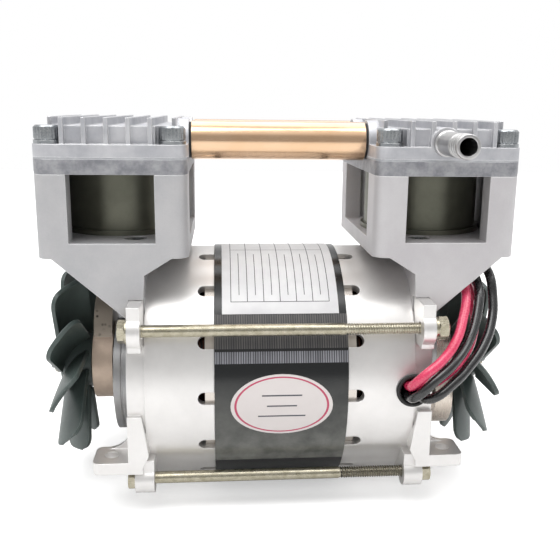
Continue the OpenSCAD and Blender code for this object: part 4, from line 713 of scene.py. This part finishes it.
def threadedRod(part, place, axis, low, high, crest, depth, pitch, sides=18):
    # a helix: root and crest lines wind side by side, and the rod's core closes its ends
    points, faces = part
    turns = int((high - low) / pitch)
    first = len(points)
    steps = turns * sides + 1
    for t in range(steps):
        a = math.tau * (t % sides) / sides
        h = low + pitch * t / sides
        points.append(ringPoint(place, axis, h, crest - depth, a))
        points.append(ringPoint(place, axis, h + pitch / 2, crest, a))
    for t in range(steps - 1):
        a = first + 2 * t
        faces.append((a, a + 2, a + 3, a + 1))
        if t + 1 + sides < steps:
            faces.append((a + 1, a + 3, a + 2 + 2 * sides, a + 2 * sides))


# Through bolts: rolled thread on the right half, heads on the left
boltFacts = {
    "radius": 2.4, "pitch": 1.0, "threadDepth": 0.46, "core": 2.02, "threadStart": 24, "taper": 1.2,
    "flats": 8.2, "headThick": 3, "nutThick": 3.9, "nutOverlap": 0.1, "sides": 32,
    "tip": 0.5, "tipRadius": 1.6,
    "upperY": 50.56, "upperZ": 78.3, "lowerY": 46.0, "lowerZ": 14.69,
    "upperHead": 60.3, "upperNut": 61.5, "upperEnd": 66.4, "lowerHead": 58.7, "lowerEnd": 62.6,
}


def makeBolts(facts):
    bolts, nuts = ([], []), ([], [])
    r, core, start, sides = (facts[k] for k in ("radius", "core", "threadStart", "sides"))
    for y, z, head, nut, end in [
            (facts["upperY"], facts["upperZ"], facts["upperHead"], facts["upperNut"], facts["upperEnd"]),
            (facts["lowerY"], facts["lowerZ"], facts["lowerHead"], facts["lowerHead"], facts["lowerEnd"])]:
        for side in (-1, 1):
            place = (0, side * y, z)
            turned(bolts, place, "x", [(-head, r), (start, r), (start + facts["taper"], core)], sides)
            first, last = start + facts["taper"] / 2, end - facts["tip"]
            turned(bolts, place, "x", [(first, core), (last, core), (end, facts["tipRadius"])], sides)
            threadedRod(bolts, place, "x", first, last, r, facts["threadDepth"], facts["pitch"])
            chamferedHex(bolts, place, "x", facts["flats"], -head - facts["headThick"], -head)
            chamferedHex(nuts, place, "x", facts["flats"], nut, nut + facts["nutThick"],
                         r - facts["nutOverlap"])
    makePiece("throughBoltSet", bolts, "zincSteel", "pump", ["through_bolts"])
    makePiece("throughBoltNutSet", nuts, "zincSteel", "pump", ["through_bolt_nuts"])


makeBolts(boltFacts)


# Socket screws: knurled sides, a chamfered rim and a hexagon socket
screwFacts = {
    "headX": (65, 23.15), "headY": 38.1, "headTop": 149.9, "capRadius": 5, "capThick": 5.4,
    "socket": 5, "socketDepth": 3, "shank": 2.9, "shankLow": 117.6,
    "caseX": 57.5, "caseY": 30.5, "caseTop": 110.9, "caseCap": 4.3, "caseThick": 5, "caseSocket": 4,
    "caseSocketDepth": 2.5, "caseShank": 2.5, "caseLow": 68.0,
    "knurls": 24, "knurlDepth": 0.38,  # coarser than the real ones, so that they show
    # profile from the tip up: a rise or drop runs along the screw, a step goes in from the radius
    "tipRise": 0.5, "tipStep": 0.4, "footStep": 0.45, "bandRise": 0.35, "bandStep": 0.2, "knurlRise": 0.55,
    "knurlDrop": 0.85, "crownDrop": 0.6, "crownStep": 0.25, "rimStep": 0.8, "mouth": 0.2,
    "drillDrop": 0.6, "drillEnd": 0.1,
}


def socketScrew(part, place, capLow, radius, thick, flats, depth, shank, low, facts):
    sides = 2 * facts["knurls"]
    hexagon = hexRadius(flats)
    top = capLow + thick

    def knurl(a, k):
        return radius - facts["knurlDepth"] * (k % 2)

    outline = [
        (low, shank - facts["tipStep"]), (low + facts["tipRise"], shank), (capLow, shank),
        (capLow, radius - facts["footStep"]), (capLow + facts["bandRise"], radius - facts["bandStep"]),
        (capLow + facts["knurlRise"], knurl), (top - facts["knurlDrop"], knurl),
        (top - facts["crownDrop"], radius - facts["crownStep"]), (top, radius - facts["rimStep"]),
        (top, lambda a, k: hexagon(a) + facts["mouth"]), (top - facts["mouth"], hexagon),
        (top - depth, hexagon), (top - depth - facts["drillDrop"], facts["drillEnd"])]
    turned(part, place, "z", outline, sides=sides)


def makeScrews(facts):
    heads, cases = ([], []), ([], [])
    middle, spread = facts["headX"]
    for sx in (-1, 1):
        for dx in (-spread, spread):
            for sy in (-1, 1):
                socketScrew(heads, (sx * (middle + dx), sy * facts["headY"], 0), facts["headTop"],
                            facts["capRadius"], facts["capThick"], facts["socket"], facts["socketDepth"],
                            facts["shank"], facts["shankLow"], facts)
        for sy in (-1, 1):
            socketScrew(cases, (sx * facts["caseX"], sy * facts["caseY"], 0),
                        facts["caseTop"] - facts["caseThick"], facts["caseCap"], facts["caseThick"],
                        facts["caseSocket"], facts["caseSocketDepth"], facts["caseShank"],
                        facts["caseLow"], facts)
    makePiece("headScrewSet", heads, "nickelSteel", "pump", ["head_screws"])
    makePiece("crankcaseScrewSet", cases, "nickelSteel", "pump", ["crankcase_screws"])


makeScrews(screwFacts)


# Hose barbs: a turned stub with a rolled lip and shallow grip rings
barbFacts = {
    "x": 62.8, "z": 150, "face": 43.7, "length": 27, "seat": 6, "radius": 4.6, "bore": 3.2,
    "flange": ((0, 4.8), (0.3, 5.1), (2.6, 5.1), (3, 4.5)),  # out from the head's face, and radius
    "neck": (9.7, 4.5),  # back from the end, and radius
    "grips": 3, "gripPitch": 2.4, "gripStart": 9.5,
    "grip": ((0, 4.25), (1.9, 4.6), (2.0, 4.3)),  # along each ring, and radius
    "lip": ((2.2, 4.3), (1.5, 4.55), (0.7, 4.6), (0.2, 4.4), (0, 4.15), (0.15, 3.3), (0.5, 3.2)),
}


def makeBarbs(facts):
    face, seat, radius = facts["face"], facts["face"] - facts["seat"], facts["radius"]
    out = face + facts["length"]
    outline = [(seat, facts["bore"]), (seat, radius), (face, radius)]
    outline += [(face + ahead, r) for ahead, r in facts["flange"]]
    outline.append((out - facts["neck"][0], facts["neck"][1]))
    for i in range(facts["grips"]):
        start = out - facts["gripStart"] + i * facts["gripPitch"]
        outline += [(start + ahead, r) for ahead, r in facts["grip"]]
    outline += [(out - back, r) for back, r in facts["lip"]]
    for name, x, axis, node in (("inletBarbStub", facts["x"], "-y", "inlet_barb"),
                                ("outletBarbStub", -facts["x"], "y", "outlet_barb")):
        part = ([], [])
        turned(part, (x, 0, facts["z"]), axis, outline, closed=True)
        makePiece(name, part, "barbMetal", "pump", [node], crease=50)


makeBarbs(barbFacts)


# Rubber grommet with a rounded rim where the leads come out
grommetFacts = {
    "x": 53, "z": 52.5, "face": 51.25,
    "profile": (  # out from the bell's face, and radius
        (-3.5, 5.5), (-3.5, 6.05), (0, 6.05), (0, 6.75), (0.5, 6.95), (0.9, 6.7), (1.2, 6.15), (1.2, 5.9),
        (0.9, 5.35), (0, 5.2)),
}


def makeGrommet(facts):
    part = ([], [])
    outline = [(facts["face"] + ahead, r) for ahead, r in facts["profile"]]
    turned(part, (facts["x"], 0, facts["z"]), "-y", outline, closed=True)
    makePiece("leadGrommet", part, "blackRubber", "pump", ["cable_grommet"], crease=60)


makeGrommet(grommetFacts)


# Set screws in the counterweights' hubs, with hexagon sockets
setScrewFacts = {"x": 75.25, "start": 6.1, "end": 16.2, "radius": 2.95, "flats": 3, "depth": 3.6,
                 "rimDrop": 0.6, "rimStep": 0.55, "mouth": 0.15}


def makeSetScrews(facts):
    part = ([], [])
    hexagon = hexRadius(facts["flats"])
    r, end, mouth = facts["radius"], facts["end"], facts["mouth"]
    outline = [
        (facts["start"], r), (end - facts["rimDrop"], r), (end, r - facts["rimStep"]),
        (end, lambda a, k: hexagon(a) + mouth), (end - mouth, hexagon), (end - facts["depth"], hexagon)]
    for side, axis in ((1, "-y"), (-1, "y")):
        turned(part, (side * facts["x"], 0, shaftHeight), axis, outline)
    makePiece("hubSetScrewSet", part, "nickelSteel", "rotor", ["eccentric_set_screws"])


makeSetScrews(setScrewFacts)


# Fan nuts on the ends of the shaft
fanNutFacts = {"flats": 11, "start": 94.6, "end": 98.2, "bore": 4.0}


def makeFanNuts(facts):
    part = ([], [])
    flats, start, end, bore = (facts[k] for k in ("flats", "start", "end", "bore"))
    for axis in ("x", "-x"):
        chamferedHex(part, (0, 0, shaftHeight), axis, flats, start, end, bore)
    makePiece("fanNutSet", part, "zincSteel", "rotor", ["fan_nuts"])


makeFanNuts(fanNutFacts)
print("fasteners done")


# Fans: ten cupped paddles round a hub with a rounded nose
fanFacts = {
    "hub": (  # along the shaft, and radius
        (80.6, 6.05), (80.6, 12.2), (80.9, 12.5), (91.2, 12.5), (92, 12.25), (93.4, 11.4), (94.2, 10.65),
        (94.6, 9.9), (94.6, 7.6), (94.1, 7.3), (94.1, 6.05)),
    "radius": 40, "end": 94.6, "count": 10, "chordX": 11.7, "chordZ": 16.3, "camber": 2.6, "corner": 6,
    "thick": 1.8, "inset": 0.9, "leftTurn": 31, "rightTurn": 1.4, "cup": 1.6, "root": 10.8,
    "rim": 0.8, "cornerShare": 0.86,
    # rows crowd towards the tip and columns towards the sides, where the outline bends
    "rows": 16, "rowPower": 1.6, "columns": 14, "columnPower": 0.85,
}


def bladeSheet(facts):
    # points of one paddle's middle surface, by rows from hub to tip, with round outer corners
    chord = math.hypot(facts["chordX"], facts["chordZ"])
    tilt = math.atan2(facts["chordZ"], facts["chordX"])
    camber = facts["camber"]
    rho = (chord * chord / 4 + camber * camber) / (2 * camber)
    along = Vector((math.cos(tilt), 0, -math.sin(tilt)))
    bulge = Vector((math.sin(tilt), 0, math.cos(tilt)))
    centre = Vector((facts["end"] - facts["inset"] - facts["chordX"] / 2, 0, 0))
    corner = facts["corner"]
    rows, columns = facts["rows"], facts["columns"]
    sheet = []
    for j in range(rows + 1):
        v = j / rows
        reach = facts["root"] + (facts["radius"] - facts["root"]) * (
            1 - (1 - v) ** facts["rowPower"])
        short = max(0, reach - (facts["radius"] - corner))
        half = chord / 2 - corner + math.sqrt(max(0, corner * corner - short * short))
        half = max(half, chord / 2 - corner * facts["cornerShare"])
        row = []
        for i in range(columns + 1):
            s = 2 * i / columns - 1
            s = math.copysign(abs(s) ** facts["columnPower"], s) * half
            lift = math.sqrt(rho * rho - s * s) - (rho - camber)
            tip = facts["cup"] * v * v * (1 - (s / (chord / 2)) ** 2)
            point = centre + along * s + bulge * (lift - tip)
            row.append(Vector((point.x, -reach, point.z)))
        sheet.append(row)
    for row in sheet:
        for point in row:
            away = math.hypot(point.y, point.z)
            if away > facts["radius"]:
                point.y = -math.sqrt(facts["radius"] ** 2 - point.z ** 2)
    return sheet


def makeFan(name, node, flip, turn, facts):
    part = ([], [])
    points, faces = part
    sheet = bladeSheet(facts)
    columns = len(sheet[0])
    for b in range(facts["count"]):
        spin = Matrix.Rotation(math.radians(-turn - b * 360 / facts["count"]), 3, "X")
        first = len(points)
        for row in sheet:
            for point in row:
                p = spin @ point
                points.append(Vector((p.x * flip, p.y, p.z + shaftHeight)))
        for j in range(len(sheet) - 1):
            for i in range(columns - 1):
                a = first + j * columns + i
                faces.append((a, a + 1, a + columns + 1, a + columns))
    blades = makePiece(name + "Paddles", part, "fanNylon", "rotor", [node], crease=60)
    solid = blades.modifiers.new("thickness", "SOLIDIFY")
    solid.thickness = facts["thick"] * mm
    solid.offset = 0
    rim = blades.modifiers.new("rim", "BEVEL")
    rim.width = facts["rim"] * mm
    rim.segments = 3
    rim.limit_method = "ANGLE"
    rim.angle_limit = math.radians(50)
    hub = ([], [])
    turned(hub, (0, 0, shaftHeight), "x" if flip > 0 else "-x", facts["hub"], sides=64, closed=True)
    makePiece(name + "Hub", hub, "fanNylon", "rotor", [node], crease=40)


makeFan("leftFan", "left_fan", -1, fanFacts["leftTurn"], fanFacts)
makeFan("rightFan", "right_fan", 1, fanFacts["rightTurn"], fanFacts)
print("fans done")


# Studio: a white table, a darker room in front of it and soft lamps overhead
studioFacts = {
    "floor": "#ededed", "floorLift": 0.45, "floorHalf": 1.6,
    "front": 0.46, "sides": 0.95, "top": 1.05,  # brightness of the room, by direction
    "frontFrom": 0.1, "frontTo": -0.6, "topFrom": 0.45, "topTo": 0.8, "aim": (0, 0, 0.08),
    "lamps": [  # place in metres, size, power in watts
        ((-0.35, -0.4, 1.05), 0.7, 5.7), ((0.45, -0.2, 1.0), 0.6, 3.2), ((0.0, 0.45, 1.0), 0.8, 2.7)],
}


def makeStudio(facts):
    world = bpy.data.worlds.new("studioWorld")
    bpy.context.scene.world = world
    world.use_nodes = True
    tree = world.node_tree
    seen = addNode(tree, "ShaderNodeLightPath").outputs["Is Camera Ray"]
    way = addNode(tree, "ShaderNodeTexCoord").outputs["Generated"]
    split = addNode(tree, "ShaderNodeSeparateXYZ", inputs={"Vector": way})
    toFront = addNode(tree, "ShaderNodeMapRange", {"interpolation_type": "SMOOTHSTEP"}, {
        "Value": split.outputs["Y"], "From Min": facts["frontFrom"], "From Max": facts["frontTo"],
        "To Min": facts["sides"], "To Max": facts["front"]})
    toTop = addNode(tree, "ShaderNodeMapRange", {"interpolation_type": "SMOOTHSTEP"}, {
        "Value": split.outputs["Z"], "From Min": facts["topFrom"], "From Max": facts["topTo"]})
    room = addNode(tree, "ShaderNodeMix", inputs={
        0: toTop.outputs["Result"], 2: toFront.outputs["Result"], 3: facts["top"]})
    strength = addNode(tree, "ShaderNodeMix", inputs={0: seen, 2: room.outputs[0], 3: 1.0})
    tree.nodes["Background"].inputs["Color"].default_value = (1, 1, 1, 1)
    tree.links.new(strength.outputs[0], tree.nodes["Background"].inputs["Strength"])
    mesh = bpy.data.meshes.new("studioFloor")
    s = facts["floorHalf"]
    mesh.from_pydata([(-s, -s, 0), (s, -s, 0), (s, s, 0), (-s, s, 0)], [], [(0, 1, 2, 3)])
    floor = bpy.data.objects.new("studioFloor", mesh)
    bpy.context.scene.collection.objects.link(floor)
    material, tree, shader = startMaterial("paperFloor", {"Roughness": 0.9, "Specular IOR Level": 0.1})
    shader.inputs["Base Color"].default_value = linear(facts["floor"])
    shader.inputs["Emission Color"].default_value = (1, 1, 1, 1)
    direct = addNode(tree, "ShaderNodeLightPath").outputs["Is Camera Ray"]
    lift = addNode(tree, "ShaderNodeMapRange", inputs={"Value": direct, "To Max": facts["floorLift"]})
    tree.links.new(lift.outputs["Result"], shader.inputs["Emission Strength"])
    mesh.materials.append(material)
    for i, (place, size, power) in enumerate(facts["lamps"]):
        lamp = bpy.data.lights.new(f"softLamp{i}", "AREA")
        lamp.size = size
        lamp.energy = power
        holder = bpy.data.objects.new(f"softLamp{i}", lamp)
        bpy.context.scene.collection.objects.link(holder)
        holder.location = place
        away = Vector(place) - Vector(facts["aim"])
        holder.rotation_euler = away.to_track_quat("Z", "Y").to_euler()


makeStudio(studioFacts)
bpy.context.scene.view_settings.view_transform = "Standard"
print("studio done")
